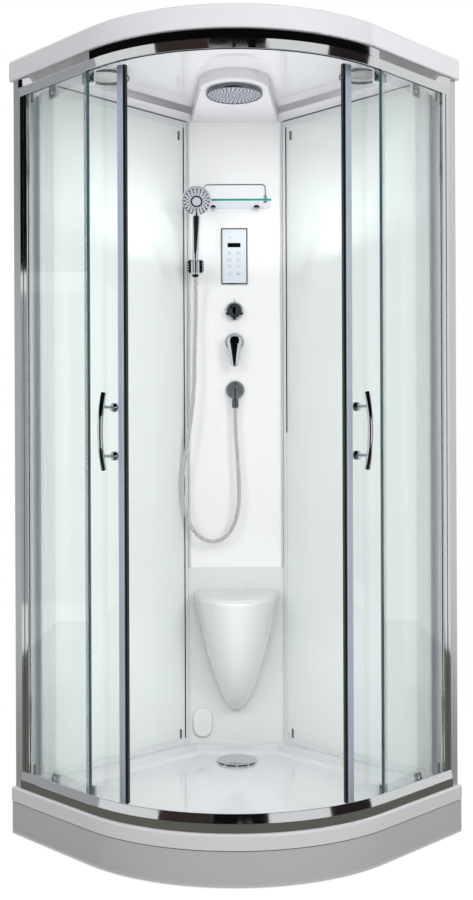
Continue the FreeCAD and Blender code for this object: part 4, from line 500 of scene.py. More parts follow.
@dataclass(frozen=True)
class Painted(Finish):
    """Painted, zinc plated or cast metal."""

    metal: float = 0.6
    gloss: float = 0.4

    def dress(self, surface: Surface) -> None:
        """Speckled tone and a soft, uneven gloss."""
        surface.set(Metallic=self.metal)
        grain = surface.moulded(Peel_Scale=500.0, Wave_Share=0.3)
        surface.two_tones(grain["Height"], 0.25)
        surface.wiped(20.0, self.gloss * 0.7, self.gloss * 1.3)
        surface.relief(grain["Height"], 0.3, 0.2 * MM)


class Palette(Enum):
    """The cabin's finishes."""

    TRAY = Acrylic("tray_white", (222, 223, 225))
    # Apron: the tray's white acrylic painted a darker grey, as painted shade of the low front face that gets
    # less light.
    APRON = Acrylic("apron_white_painted_shade", (192, 192, 194), gloss=0.14)
    ROOF = Acrylic("roof_white", (228, 227, 231), gloss=0.06, peel=0.03, drift=0.015)
    SEAT = Acrylic("seat_white", (224, 227, 227), gloss=0.16, drift=0.05)
    COLUMN = Acrylic("column_white", (244, 245, 245), gloss=0.2, coat=0.35)
    CHROME = Plated("chrome", (214, 216, 220))
    SOFT_CHROME = Plated("soft_chrome", (206, 208, 212), gloss=0.16, marks=0.08)
    TRIM = Satin("column_trim", (228, 230, 231), metal=0.35, gloss=0.3)
    DARK_CHROME = Plated("dark_chrome", (120, 124, 130), gloss=0.06)
    BLACK_CHROME = Plated("black_chrome", (34, 35, 38), gloss=0.05)
    # Dome: chrome darkened as a painted reflection of the dark room round the cabin.
    DOME = Plated("dome_chrome_painted_dark_reflection", (70, 72, 76), gloss=0.04)
    # Grey strips that stand for the shaded gaps under the roof and in the apron seam: painted shade.
    SHADE_STRIP = Moulded("grey_painted_shade", (96, 100, 102), gloss=0.5)
    RAIL = Plated("bright_rail", (205, 207, 209), gloss=0.05, marks=0.04)
    WALL_TRIM = Satin("wall_profile", (228, 231, 232), metal=0.12, gloss=0.42)
    SATIN = Satin("satin_profile", (222, 224, 225), metal=0.4, gloss=0.34)
    POST = Satin("satin_post", (206, 208, 208), metal=0.55, gloss=0.3)
    GLASS = ClearGlass("clear_glass", (252, 255, 254))
    SHELF_GLASS = ClearGlass("shelf_glass", (228, 233, 243), veil=0.9)
    CLEAR_LIP = ClearGlass("clear_vinyl", (240, 246, 247), veil=0.93)
    GLASS_EDGE = Moulded("glass_edge", (52, 84, 92), gloss=0.2, peel=0.1)
    TEAL_EDGE = Moulded("shelf_edge", (28, 150, 128), gloss=0.1, clear=0.1, peel=0.1)
    WALL = BackedGlass("wall_glass", (225, 231, 229))
    CLIP = Moulded("clip_grey", (96, 98, 98))
    SEAL = Moulded("clear_seal", (200, 211, 226), gloss=0.3, clear=0.4)
    MAGNET = Moulded("black_seal", (9, 9, 11), gloss=0.45, peel=0.1)
    NYLON = Moulded("wheel_nylon", (206, 207, 205))
    FAN_RING = Plated("ring_chrome", (58, 60, 63), gloss=0.08)
    FAN = Moulded("fan_plastic", (216, 217, 217))
    LENS = Moulded("frosted_lens", (236, 238, 236), gloss=0.35, clear=0.2)
    MEMBRANE = Moulded("panel_membrane", (222, 228, 234), gloss=0.35, peel=0.1)
    KEY = Moulded("key_field", (214, 221, 229), gloss=0.4, peel=0.1)
    ICON = Moulded("key_print", (132, 140, 150), gloss=0.4)
    ICON_RED = Moulded("indicator_red", (214, 150, 164), gloss=0.3)
    SCREEN = Moulded("display_glass", (8, 8, 10), gloss=0.08, peel=0.02)
    CASE = Moulded("case_grey", (120, 123, 125))
    TRAP = Moulded("waste_grey", (96, 98, 100))
    PIPE = Moulded("pipe_white", (224, 224, 222), gloss=0.35)
    NOZZLE_PLATE = Moulded("nozzle_plate", (178, 179, 192), gloss=0.35)
    NOZZLE = Moulded("nozzle_dark", (26, 27, 31), gloss=0.5, shine=0.2)
    HEAD_FACE = Moulded("spray_face", (162, 165, 171), gloss=0.25)
    FRAME_STEEL = Painted("frame_steel", (150, 153, 155), metal=0.3, gloss=0.45)
    ZINC = Painted("zinc_steel", (178, 180, 182), metal=1.0, gloss=0.3)
    BRASS = Painted("cast_brass", (196, 164, 98), metal=1.0, gloss=0.35)
    HOSE = Satin("wound_steel", (212, 210, 213), metal=0.5, gloss=0.25)


# ---------------------------------------------------------------- mesh helpers
class Bench:
    """Mesh making shared by the sub-assemblies."""

    @staticmethod
    def place(name: str, mesh: bpy.types.Mesh, finish: Palette, body: str,
              replaces: Iterable[str] = ()) -> Piece:
        """Put a finished mesh in the scene and ride it on its body.

        Args:
            name: the piece's name.
            mesh: its mesh, already where it belongs.
            finish: its finish.
            body: the body that it moves with, or nothing to leave it without a body.
            replaces: CAD nodes that it stands for.

        Returns:
            The piece.
        """
        piece = bpy.data.objects.new(name, mesh)
        bpy.context.scene.collection.objects.link(piece)
        mesh.materials.append(finish.value.material())
        if body:
            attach(piece, body)
        nodes = list(replaces)
        if nodes:
            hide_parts(*nodes)
        return piece

    @staticmethod
    def mesh(bm: BMesh, name: str) -> bpy.types.Mesh:
        """Turn a bmesh into a mesh, smooth except across sharp edges, and free it."""
        mesh = bpy.data.meshes.new(name)
        bm.to_mesh(mesh)
        bm.free()
        mesh.shade_smooth()
        mesh.set_sharp_from_angle(angle=SMOOTH_ANGLE)
        return mesh

    @staticmethod
    def weigh(piece: Piece) -> None:
        """Keep large flat faces flat beside their rounded edges."""
        shading = piece.modifiers.new("flat_faces_first", "WEIGHTED_NORMAL")
        shading.keep_sharp = True
        shading.weight = FACE_WEIGHT

    @classmethod
    def build(cls, name: str, bm: BMesh, finish: Palette, body: str = "cabin",
              replaces: Iterable[str] = ()) -> Piece:
        """Finish a bmesh as a piece.

        Args:
            name: the piece's name.
            bm: the bmesh, freed here.
            finish: its finish.
            body: the body that it moves with.
            replaces: CAD nodes that it stands for.

        Returns:
            The piece.
        """
        bmesh.ops.remove_doubles(bm, verts=bm.verts, dist=WELD)
        bmesh.ops.recalc_face_normals(bm, faces=bm.faces)
        piece = cls.place(name, cls.mesh(bm, name), finish, body, replaces)
        cls.weigh(piece)
        return piece

    @classmethod
    def refined(cls, node: str, finish: Palette, edge: float = 0.0) -> Piece:
        """Smoothly shaded stand-in for a CAD node, with its sharp edges eased.

        Args:
            node: the CAD node.
            finish: its finish.
            edge: width of the eased edges, or 0 for none.

        Returns:
            The piece.
        """
        bm = bmesh.new()
        bm.from_mesh(frame["nodes"][node].data)
        bmesh.ops.remove_doubles(bm, verts=bm.verts, dist=CAD_WELD)
        bmesh.ops.dissolve_limit(bm, angle_limit=FLAT_ANGLE, verts=bm.verts, edges=bm.edges,
                                 use_dissolve_boundaries=False, delimit={"NORMAL"})
        if edge:
            cls.ease(bm, [e for e in bm.edges if e.is_manifold and e.calc_face_angle(0.0) > SHARP_ANGLE
                          and e.calc_length() > edge * 2.0], edge, 2)
        body = frame["nodes"][node]["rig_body"]
        piece = cls.place("fine_" + node, cls.mesh(bm, node), finish, body, [node])
        cls.weigh(piece)
        return piece

    @staticmethod
    def dress(node: str, finish: Palette) -> None:
        """Give a CAD node its finish as it is."""
        data = frame["nodes"][node].data
        data.materials.clear()
        data.materials.append(finish.value.material())

    @staticmethod
    def ease(bm: BMesh, edges: Sequence, width: float, segments: int = 3,
             clamp: bool = True) -> list:
        """Round edges off, by default no further than their faces reach; returns the new vertices."""
        return bmesh.ops.bevel(bm, geom=edges, offset=width, offset_type="OFFSET", segments=segments,
                               affect="EDGES", profile=0.5, material=-1, clamp_overlap=clamp)["verts"]

    @staticmethod
    def facing(origin: Vector, axis: Vector) -> Matrix:
        """Matrix whose Z lies along an axis at an origin."""
        turn = UP.rotation_difference(axis.normalized())
        return Matrix.Translation(origin) @ turn.to_matrix().to_4x4()

    @classmethod
    def lathe(cls, bm: BMesh, profile: Profile, origin: Vector,
              axis: Vector, steps: int = TURN_STEPS) -> list:
        """Turn a profile about an axis.

        Args:
            bm: the bmesh to add to.
            profile: (radius, height along the axis) points.
            origin: where the axis starts.
            axis: its direction.
            steps: faces round the turn.

        Returns:
            The new vertices.
        """
        before = set(bm.verts)
        place = cls.facing(origin, axis)
        verts = [bm.verts.new(place @ Vector((r, 0.0, h))) for r, h in profile]
        edges = [bm.edges.new(pair) for pair in zip(verts, verts[1:])]
        bmesh.ops.spin(bm, geom=verts + edges, cent=origin, axis=axis.normalized(), dvec=Vector(),
                       angle=2.0 * math.pi, steps=steps, use_merge=True, use_normal_flip=False,
                       use_duplicate=False)
        fresh = [vert for vert in bm.verts if vert not in before]
        bmesh.ops.remove_doubles(bm, verts=fresh, dist=LATHE_WELD)
        return [vert for vert in bm.verts if vert not in before]

    @classmethod
    def turned(cls, name: str, profile: Profile, place: Matrix, finish: Palette,
               body: str = "cabin", replaces: Iterable[str] = (), steps: int = TURN_STEPS) -> Piece:
        """Piece turned about a frame's Z axis.

        Args:
            name: the piece's name.
            profile: (radius, height) points in millimetres.
            place: the frame.
            finish: its finish.
            body: the body that it moves with.
            replaces: CAD nodes that it stands for.
            steps: faces round the turn.

        Returns:
            The piece.
        """
        bm = bmesh.new()
        cls.lathe(bm, [(r * MM, h * MM) for r, h in profile], Vector(), UP, steps)
        bmesh.ops.transform(bm, matrix=place, verts=bm.verts)
        return cls.build(name, bm, finish, body, replaces)

    @staticmethod
    def around(place: Matrix, radius: float, count: int, height: float = 0.0,
               start: float = 0.0) -> list[Matrix]:
        """Frames spaced round a frame's Z axis, each with its X pointing outwards."""
        frames = []
        for index in range(count):
            turn = Matrix.Rotation(2.0 * math.pi * index / count + math.radians(start), 4, "Z")
            frames.append(place @ turn @ Matrix.Translation((radius, 0.0, height)))
        return frames

    @staticmethod
    def studs(bm: BMesh, places: Sequence[Matrix], radius: float, height: float,
              stretch: float = 1.0, taper: float = 0.75) -> None:
        """Small tapered bosses.

        Args:
            bm: the bmesh to add to.
            places: one frame for each boss, Z out of the surface.
            radius: radius at the foot.
            height: height of a boss.
            stretch: how much longer it is along X.
            taper: radius at the top as a share of the foot's.
        """
        for place in places:
            matrix = place @ Matrix.Translation((0.0, 0.0, height / 2.0)) @ Matrix.Diagonal(
                (stretch, 1.0, 1.0, 1.0))
            bmesh.ops.create_cone(bm, cap_ends=True, segments=STUD_STEPS, radius1=radius,
                                  radius2=radius * taper, depth=height, matrix=matrix)

    @classmethod
    def strips(cls, name: str, low: Vector, high: Vector, finish: Palette, edge: float = 0.0) -> None:
        """Matching strips at both sides of the cabin.

        Args:
            name: the pieces' common name.
            low: lowest (p, q, z) corner.
            high: highest (p, q, z) corner.
            finish: their finish.
            edge: width of the eased edges.
        """
        for side, word in ((1.0, "right"), (-1.0, "left")):
            bm = bmesh.new()
            cls.block(bm, low, high, edge, 2)
            bmesh.ops.transform(bm, matrix=PLAN.wall_frame(side), verts=bm.verts)
            cls.build(f"{name}_{word}", bm, finish)

    @classmethod
    def block(cls, bm: BMesh, low: Vector, high: Vector, round_edge: float = 0.0,
              segments: int = 3) -> list:
        """Block between two corners with eased edges; returns its vertices."""
        matrix = Matrix.Translation((low + high) * 0.5) @ Matrix.Diagonal((*(high - low), 1.0))
        verts = bmesh.ops.create_cube(bm, size=1.0, matrix=matrix)["verts"]
        if round_edge:
            edges = list({edge for vert in verts for edge in vert.link_edges})
            verts = cls.ease(bm, edges, round_edge, segments, False)
        return verts

    @classmethod
    def bar(cls, bm: BMesh, low: Point, high: Point, edge: float, place: Matrix) -> None:
        """Block between two corners given in millimetres in a frame, with eased edges."""
        verts = cls.block(bm, Vector(low) * MM, Vector(high) * MM, edge * MM)
        bmesh.ops.transform(bm, matrix=place, verts=verts)

    @classmethod
    def slab(cls, name: str, low: Vector, high: Vector, edge: float, finish: Palette) -> None:
        """Piece of the cabin that is one block with eased edges."""
        bm = bmesh.new()
        cls.block(bm, low, high, edge)
        cls.build(name, bm, finish)

    @classmethod
    def sweep(cls, bm: BMesh, stations: Sequence[Matrix], radii: Sequence[float],
              segments: int) -> None:
        """Run a circle through stations and close both ends.

        Args:
            bm: the bmesh to add to.
            stations: matrices with Z along the path.
            radii: the circle's radius at each station.
            segments: faces round the section.
        """
        made = bmesh.ops.create_circle(bm, cap_ends=False, radius=radii[0], segments=segments,
                                       matrix=stations[0])
        edges = list({edge for vert in made["verts"] for edge in vert.link_edges})
        bmesh.ops.contextual_create(bm, geom=edges)
        before = stations[0] @ Matrix.Scale(radii[0], 4)
        for station, radius in zip(stations[1:], radii[1:]):
            grown = bmesh.ops.extrude_edge_only(bm, edges=edges)["geom"]
            verts = [item for item in grown if isinstance(item, bmesh.types.BMVert)]
            edges = [item for item in grown if isinstance(item, bmesh.types.BMEdge)]
            here = station @ Matrix.Scale(radius, 4)
            bmesh.ops.transform(bm, matrix=here @ before.inverted(), verts=verts)
            before = here
        bmesh.ops.contextual_create(bm, geom=edges)

    @staticmethod
    def stations(points: Sequence[Vector]) -> list[Matrix]:
        """Turning-free frames along a line of points, Z along the line."""
        frames = []
        turn, last = None, UP
        for index, point in enumerate(points):
            ahead = points[min(index + 1, len(points) - 1)]
            along = (ahead - points[max(index - 1, 0)]).normalized()
            step = last.rotation_difference(along)
            turn = step if turn is None else step @ turn
            frames.append(Matrix.Translation(point) @ turn.to_matrix().to_4x4())
            last = along
        return frames

    @staticmethod
    def along_front(bm: BMesh, profile: Profile, wall_start: float) -> None:
        """Run a closed profile along both straight sides and the curved front.

        Args:
            bm: the bmesh to add to.
            profile: (radius about the bend's centre, height) points.
            wall_start: distance from the wall where the run starts and ends.
        """
        def grow(last: Sequence, run: Vector) -> list:
            """Draw the end face out by one straight run; returns the new end."""
            made = bmesh.ops.extrude_face_region(bm, geom=last, use_keep_orig=False)["geom"]
            moved = [item for item in made if isinstance(item, bmesh.types.BMVert)]
            bmesh.ops.translate(bm, vec=run, verts=moved)
            return [item for item in made if isinstance(item, bmesh.types.BMFace)]

        verts = [bm.verts.new(PLAN.plan(PLAN.bend + r, wall_start, z)) for r, z in profile]
        end = grow([bm.faces.new(verts)], PLAN.plan(0.0, PLAN.bend) - PLAN.plan(0.0, wall_start))
        turned = bmesh.ops.spin(bm, geom=end, cent=PLAN.polar(0.0, 0.0), axis=-UP, dvec=Vector(),
                                angle=math.pi / 2.0, steps=CURVE_STEPS, use_merge=False,
                                use_normal_flip=False, use_duplicate=False)["geom_last"]
        grow([item for item in turned if isinstance(item, bmesh.types.BMFace)],
             PLAN.plan(wall_start, 0.0) - PLAN.plan(PLAN.bend, 0.0))
        bmesh.ops.remove_doubles(bm, verts=bm.verts, dist=WELD)


# ---------------------------------------------------------------- sub-assemblies
@dataclass
class Base:
    """Tray, apron, steel frame, feet and waste."""

    seam_low: float = 93.0 * MM
    seam_high: float = 95.8 * MM
    seam_face: float = 549.2 * MM
    seam_depth: float = 5 * MM
    cover_rim: float = 109 * MM
    skirt_radius: float = 55.0
    skirt_drop: float = 5.7
    foot_count: int = 10
    foot_ring: float = 58.5 * MM
    foot_start: float = 18.0

    def build(self) -> None:
        """Dress the base, set painted shade into the seam and under the waste cover, and turn the waste
        cover.
        """
        Bench.refined("tray", Palette.TRAY)
        # The apron's finish carries painted shade: it is darker than the tray's white.
        Bench.refined("apron", Palette.APRON, 1.2 * MM)
        Bench.dress("tray_frame", Palette.FRAME_STEEL)
        Bench.dress("levelling_feet", Palette.ZINC)
        Bench.dress("waste_trap", Palette.TRAP)
        self.seam()
        self.cover()

    def seam(self) -> None:
        """Dark strip in the seam between the tray and its apron: painted shade of the gap."""
        inner = self.seam_face - self.seam_depth
        bm = bmesh.new()
        Bench.along_front(bm, [(self.seam_face, self.seam_low), (self.seam_face, self.seam_high),
                               (inner, self.seam_high), (inner, self.seam_low)], 6 * MM)
        # Painted shade: a dark strip where the gap between tray and apron falls into shade.
        Bench.build("apron_seam_shade_strip", bm, Palette.SHADE_STRIP)

    def cover(self) -> None:
        """Domed waste cover with a rolled rim, standing on small feet over a black disc that paints in the
        shade under the cover.
        """
        low, high = corners("waste_cover")
        middle = (low + high) / 2.0
        place = Matrix.Translation((middle.x, middle.y, self.cover_rim))
        Bench.turned("waste_cover_dome", (
            (0.0, 0.8), (54.0, 0.8), (58.0, 0.0), (61.2, 0.0), (62.3, 0.9), (62.4, 2.0), (61.2, 3.1),
            (58.0, 4.1), (50.0, 5.9), (38.0, 7.5), (22.0, 8.7), (10.0, 9.0), (0.0, 9.0),
        ), place, Palette.CHROME, "waste_cover", ["waste_cover"], 96)
        # Black disc under the cover: painted shade of the drain opening beneath it.
        Bench.turned("waste_cover_shade_disc", (
            (0.0, 1.2), (self.skirt_radius, 1.2), (self.skirt_radius, -self.skirt_drop),
            (0.0, -self.skirt_drop),
        ), place, Palette.MAGNET, "waste_cover")
        bm = bmesh.new()
        for foot in Bench.around(place, self.foot_ring, self.foot_count, start=self.foot_start):
            Bench.bar(bm, (-2.2, -3.4, -self.skirt_drop), (2.6, 3.4, 1.4), 1.0, foot)
        Bench.build("waste_cover_feet", bm, Palette.CHROME, "waste_cover")


@dataclass
class BackWalls:
    """Backed glass panels, their profiles and clips."""

    frame_start: float = 238 * MM
    frame_end: float = 850 * MM
    frame_face: float = 19 * MM
    frame_top: float = 2146 * MM
    shade_band: float = 4.2 * MM
    shade_band_inset: float = 2 * MM

    def build(self) -> None:
        """Dress both wall panels and their frames, and lay a dark strip of painted shade along the gap under
        the roof.
        """
        for side in ("left", "right"):
            Bench.dress("wall_panel_" + side, Palette.WALL)
        Bench.refined("wall_frames", Palette.WALL_TRIM, 0.6 * MM)
        Bench.refined("panel_clips", Palette.CLIP, 0.6 * MM)
        # Dark strip along each frame's top: painted shade of the gap between the frame and the roof.
        low = Vector((self.frame_start + self.shade_band_inset, self.frame_face - 1 * MM,
                      self.frame_top - self.shade_band))
        high = Vector((self.frame_end - self.shade_band_inset, self.frame_face + 0.9 * MM,
                       self.frame_top - 0.3 * MM))
        Bench.strips("wall_top_shade_strip", low, high, Palette.SHADE_STRIP, 0.4 * MM)


@dataclass
class Column:
    """Column sheet, its trims and frame, the seat module and the steam outlet."""

    def build(self) -> None:
        """Dress the column from top to bottom."""
        Bench.refined("column_panel", Palette.COLUMN)
        Bench.refined("column_trims", Palette.TRIM, 0.6 * MM)
        Bench.dress("column_frame", Palette.SATIN)
        Bench.refined("seat_module", Palette.SEAT)
        Bench.refined("steam_outlet", Palette.SEAT)


@dataclass
class FrontFrame:
    """Wall posts, rails, fixed panes and their seals."""

    post_inner: float = 34 * MM
    face: float = 543 * MM
    lip_face: float = 536.5 * MM
    upright: float = 24 * MM
    height: float = 47 * MM
    wall: float = 3 * MM
    slot_outer: float = 533.8 * MM
    slot_inner: float = 527.2 * MM
    ledge_edge: float = 506 * MM
    ledge_drop: float = 25 * MM
    sill_edge: float = 500 * MM
    sill_lip: float = 35 * MM
    edge: float = 0.9 * MM
    edge_low: Point = (877.3 * MM, 334.9 * MM, 141 * MM)
    edge_high: Point = (883.7 * MM, 336.5 * MM, 2095 * MM)

    def build(self) -> None:
        """Build the rails and dress what stands between them."""
        self.rail("top_rail", self.top_profile(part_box("top_rail")[1][2]))
        self.rail("bottom_rail", self.bottom_profile(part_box("bottom_rail")[0][2]))
        Bench.refined("wall_posts", Palette.POST, 0.8 * MM)
        Bench.refined("glazing_strips", Palette.RAIL, 0.8 * MM)
        Bench.refined("fixed_seals", Palette.CLEAR_LIP)
        for side in ("left", "right"):
            Bench.dress("fixed_glass_" + side, Palette.GLASS)
        Bench.strips("pane_edge", Vector(self.edge_low), Vector(self.edge_high), Palette.GLASS_EDGE)

    def top_profile(self, top: float) -> Profile:
        """Section of the header that the doors hang in, from its top height."""
        low = top - self.height
        ledge = top - self.ledge_drop
        under = ledge - self.wall
        lip = self.slot_inner - self.wall
        return [
            (self.face, top), (self.face, top - self.upright), (self.lip_face, low),
            (self.slot_outer, low), (self.slot_outer, under), (self.slot_inner, under),
            (self.slot_inner, low), (lip, low), (lip, under), (self.ledge_edge, under),
            (self.ledge_edge, ledge), (self.face - self.wall, ledge), (self.face - self.wall, top),
        ]

    def bottom_profile(self, low: float) -> Profile:
        """Section of the sill on the tray, from its lowest height."""
        top = low + self.height
        floor = low + self.wall
        lip = self.slot_inner - self.wall
        return [
            (self.sill_edge, low), (self.face, low), (self.face, low + self.upright),
            (self.lip_face, top), (self.slot_outer, top), (self.slot_outer, floor),
            (self.slot_inner, floor), (self.slot_inner, low + self.sill_lip),
            (lip, low + self.sill_lip), (lip, floor), (self.sill_edge, floor),
        ]

    def rail(self, node: str, profile: Profile) -> None:
        """Sweep a section round the front and ease its long edges."""
        bm = bmesh.new()
        Bench.along_front(bm, profile, self.post_inner)
        bmesh.ops.recalc_face_normals(bm, faces=bm.faces)
        Bench.ease(bm, [edge for edge in bm.edges if edge.is_manifold
                        and edge.calc_face_angle(0.0) > RAIL_SHARP_ANGLE
                        and max(len(face.verts) for face in edge.link_faces) < 6], self.edge)
        Bench.build("fine_" + node, bm, Palette.RAIL, "cabin", [node])


@dataclass
class SlidingDoor:
    """One curved door, slid open behind its fixed pane."""

    side: str

    def build(self) -> None:
        """Dress the door's glass, seals, carriers and wheels."""
        Bench.dress("door_glass_" + self.side, Palette.GLASS)
        Bench.refined("handle_" + self.side, Palette.CHROME)
        Bench.refined("magnetic_seal_" + self.side, Palette.MAGNET)
        Bench.refined("edge_seals_" + self.side, Palette.SEAL)
        Bench.refined("roller_carriers_" + self.side, Palette.CHROME)
        for place in ("front", "rear"):
            Bench.refined(f"{place}_wheel_{self.side}", Palette.NYLON)


@dataclass
class Roof:
    """Roof shell, rain head, ceiling light and fan."""

    fixture_radius: float = 66 * MM
    bead_rings: tuple[tuple[str, float], ...] = (("outer", 65.2), ("inner", 55.6))
    bead: Profile = (
        (-1.9, 0.4), (-1.5, -0.9), (-0.4, -1.6), (0.6, -1.5), (1.6, -0.8), (1.9, 0.4), (-1.9, 0.4),
    )
    nozzle_turn: float = 7.0
    nozzle_rings: tuple[tuple[float, int], ...] = (
        (9.0, 6), (18.0, 12), (27.0, 16), (36.0, 20), (45.5, 24), (55.0, 28), (64.0, 32), (71.5, 30),
    )

    def build(self) -> None:
        """Dress the roof and what it carries."""
        Bench.refined("roof", Palette.ROOF)
        self.rain_head()
        Bench.refined("fixture_rings", Palette.SATIN)
        self.fixture_edges()
        Bench.refined("light_lens", Palette.LENS)
        Bench.refined("fan_housing", Palette.FAN)
        Bench.refined("fan_rotor", Palette.FAN)

    def fixture_edges(self) -> None:
        """Dark chrome beads round the inner and outer edges of both ceiling fixtures."""
        low, high = corners("fixture_rings")
        middle = (low.y + high.y) / 2.0
        for word, across in (("left", low.x + self.fixture_radius),
                             ("right", high.x - self.fixture_radius)):
            place = Matrix.Translation((across, middle, low.z))
            for edge, radius in self.bead_rings:
                Bench.turned(f"fixture_{edge}_edge_{word}", [(radius + r, h) for r, h in self.bead],
                             place, Palette.FAN_RING, steps=96)

    def rain_head(self) -> None:
        """Shallow bowl with a rolled rim, its spray plate and rings of nozzles."""
        low, high = corners("rain_head")
        place = Matrix.Translation(((low.x + high.x) / 2.0, (low.y + high.y) / 2.0, high.z))
        place = place @ Matrix.Rotation(math.pi, 4, "X")
        Bench.turned("rain_head_bowl", (
            (0.0, 0.0), (84.0, 0.0), (84.0, 7.4), (83.4, 10.6), (81.6, 13.0), (79.4, 13.9), (77.8, 13.5),
            (77.0, 12.4), (77.0, 11.4), (0.0, 11.4),
        ), place, Palette.DARK_CHROME, "cabin", ["rain_head"], 96)
        Bench.turned("rain_head_plate", (
            (0.0, 11.2), (76.7, 11.2), (76.7, 11.9), (75.8, 12.3), (0.0, 12.7),
        ), place, Palette.NOZZLE_PLATE, steps=96)
        bm = bmesh.new()
        for index, (radius, count) in enumerate(self.nozzle_rings):
            ring = Bench.around(place, radius * MM, count, 12.3 * MM, self.nozzle_turn * index)
            Bench.studs(bm, ring, 1.9 * MM, 1.5 * MM, 1.25)
        Bench.build("rain_head_nozzles", bm, Palette.NOZZLE)


class Glyph(Enum):
    """Plain marks printed over the membrane's keys."""

    DOT = "dot"
    RING = "ring"
    DASH = "dash"
    LINES = "lines"
    CHEVRON = "chevron"
    PETALS = "petals"


@dataclass
class Controls:
    """Control panel, valves, pipes and generator."""

    face: float = 347.487 * MM
    print_depth: float = 0.25
    print_lift: float = 0.3 * MM
    key_columns: tuple[float, float] = (-17.5 * MM, 10.7 * MM)
    key_rows: tuple[float, ...] = (1721 * MM, 1699.5 * MM, 1678.7 * MM, 1653.3 * MM)
    glyphs: tuple[tuple[Glyph, Glyph], ...] = (
        (Glyph.PETALS, Glyph.LINES), (Glyph.RING, Glyph.RING), (Glyph.CHEVRON, Glyph.DASH),
        (Glyph.DOT, Glyph.PETALS),
    )
    lamp_place: tuple[float, float] = (-17.5 * MM, 1772 * MM)
    screen_low: tuple[float, float] = (-24 * MM, 1740 * MM)
    screen_high: tuple[float, float] = (18 * MM, 1754 * MM)
    screen_rim: float = 1.8 * MM
    key_half: Point = (10.0 * MM, 0.3 * MM, 7.6 * MM)
    key_round: float = 0.22 * MM
    valve_x: float = -2.5 * MM
    knob_rear: float = 346.187 * MM
    diverter_z: float = 1534 * MM
    outlet_place: Point = (-1.0 * MM, 352.487 * MM, 1278 * MM)
    outlet_reach: float = 30 * MM
    knurl_ring: float = 9.9 * MM
    knurl_count: int = 18
    knurl_start: float = 34.6 * MM
    lug_angles: tuple[float, ...] = (205.0, 270.0, 335.0)
    column_face: float = 352.487 * MM
    index_rise: float = 35 * MM
    lever_head: float = 25 * MM
    lever_tip: float = 13 * MM
    lever_crown: float = 3.6 * MM
    lever_depth: float = 6.6 * MM
    lever_lean: float = 3.4 * MM
    lever_pin: tuple[float, float] = (323.187 * MM, 1445 * MM)
    lever_steps: int = 40
    lever_least: float = 0.4 * MM
    pin_half: float = 6.0
    pin_radius: float = 6.0
    pin_round: float = 0.8

    def build(self) -> None:
        """Dress the controls."""
        Bench.refined("control_bezel", Palette.SOFT_CHROME)
        Bench.refined("control_face", Palette.MEMBRANE)
        self.panel_print()
        Bench.dress("control_box", Palette.CASE)
        Bench.refined("valve_rosettes", Palette.CHROME)
        self.outlet()
        self.diverter()
        Bench.refined("mixer_cap", Palette.CHROME)
        self.lever()
        Bench.dress("valve_block", Palette.BRASS)
        Bench.dress("water_pipes", Palette.PIPE)
        Bench.dress("steam_generator", Palette.CASE)

    def facing_room(self, x: float, z: float) -> Matrix:
        """Frame on the membrane at x and z, Z out of the panel and Y up."""
        return Matrix.Translation((x, self.face, z)) @ Matrix.Rotation(math.pi / 2.0, 4, "X")

    def panel_print(self) -> None:
        """Display window, indicator lamp, key fields and their plain marks."""
        for name, rim, proud, edge, finish in (
                ("display_window", 0.0, 0.9 * MM, 0.4 * MM, Palette.SCREEN),
                ("display_border", self.screen_rim, 0.5 * MM, 0.25 * MM, Palette.PIPE)):
            (left, foot), (right, head) = self.screen_low, self.screen_high
            Bench.slab(name, Vector((left - rim, self.face - proud, foot - rim)),
                       Vector((right + rim, self.face + self.print_lift, head + rim)), edge, finish)
        marks, keys = bmesh.new(), bmesh.new()
        half = Vector(self.key_half)
        for z, row in zip(self.key_rows, self.glyphs):
            for x, glyph in zip(self.key_columns, row):
                self.glyph(marks, glyph, self.facing_room(x, z))
                middle = Vector((x, self.face, z))
                Bench.block(keys, middle - half, middle + half, self.key_round)
        Bench.build("key_fields", keys, Palette.KEY)
        Bench.build("key_marks", marks, Palette.ICON)
        lamp = bmesh.new()
        Bench.studs(lamp, [self.facing_room(*self.lamp_place)], 2.6 * MM, 0.9 * MM, taper=0.8)
        Bench.build("indicator_lamp", lamp, Palette.ICON_RED)

    def glyph(self, bm: BMesh, glyph: Glyph, place: Matrix) -> None:
        """Add one plain mark.

        Args:
            bm: the bmesh to add to.
            glyph: which mark.
            place: frame on the key, Z outwards.
        """
        deep = self.print_depth * MM
        place = place @ Matrix.Translation((0.0, 0.0, self.print_lift))
        if glyph is Glyph.DOT:
            Bench.studs(bm, [place], 1.8 * MM, deep, taper=1.0)
        elif glyph is Glyph.RING:
            Bench.studs(bm, Bench.around(place, 3.2 * MM, 12), 0.55 * MM, deep, taper=1.0)
        elif glyph is Glyph.PETALS:
            Bench.studs(bm, Bench.around(place, 2.1 * MM, 4, start=20.0), 1.0 * MM, deep, 1.8, 1.0)
        else:
            bars = {
                Glyph.DASH: ((0.0, 0.0, 0.0),),
                Glyph.LINES: ((0.0, 2.2, 0.0), (0.0, -2.2, 0.0)),
                Glyph.CHEVRON: ((-1.9, 0.0, 42.0), (1.9, 0.0, -42.0)),
            }[glyph]
            for x, y, turn in bars:
                spot = place @ Matrix.Translation((x * MM, y * MM, 0.0))
                Bench.bar(bm, (-3.2, -0.55, 0.0), (3.2, 0.55, self.print_depth), 0.0,
                          spot @ Matrix.Rotation(math.radians(turn), 4, "Z"))

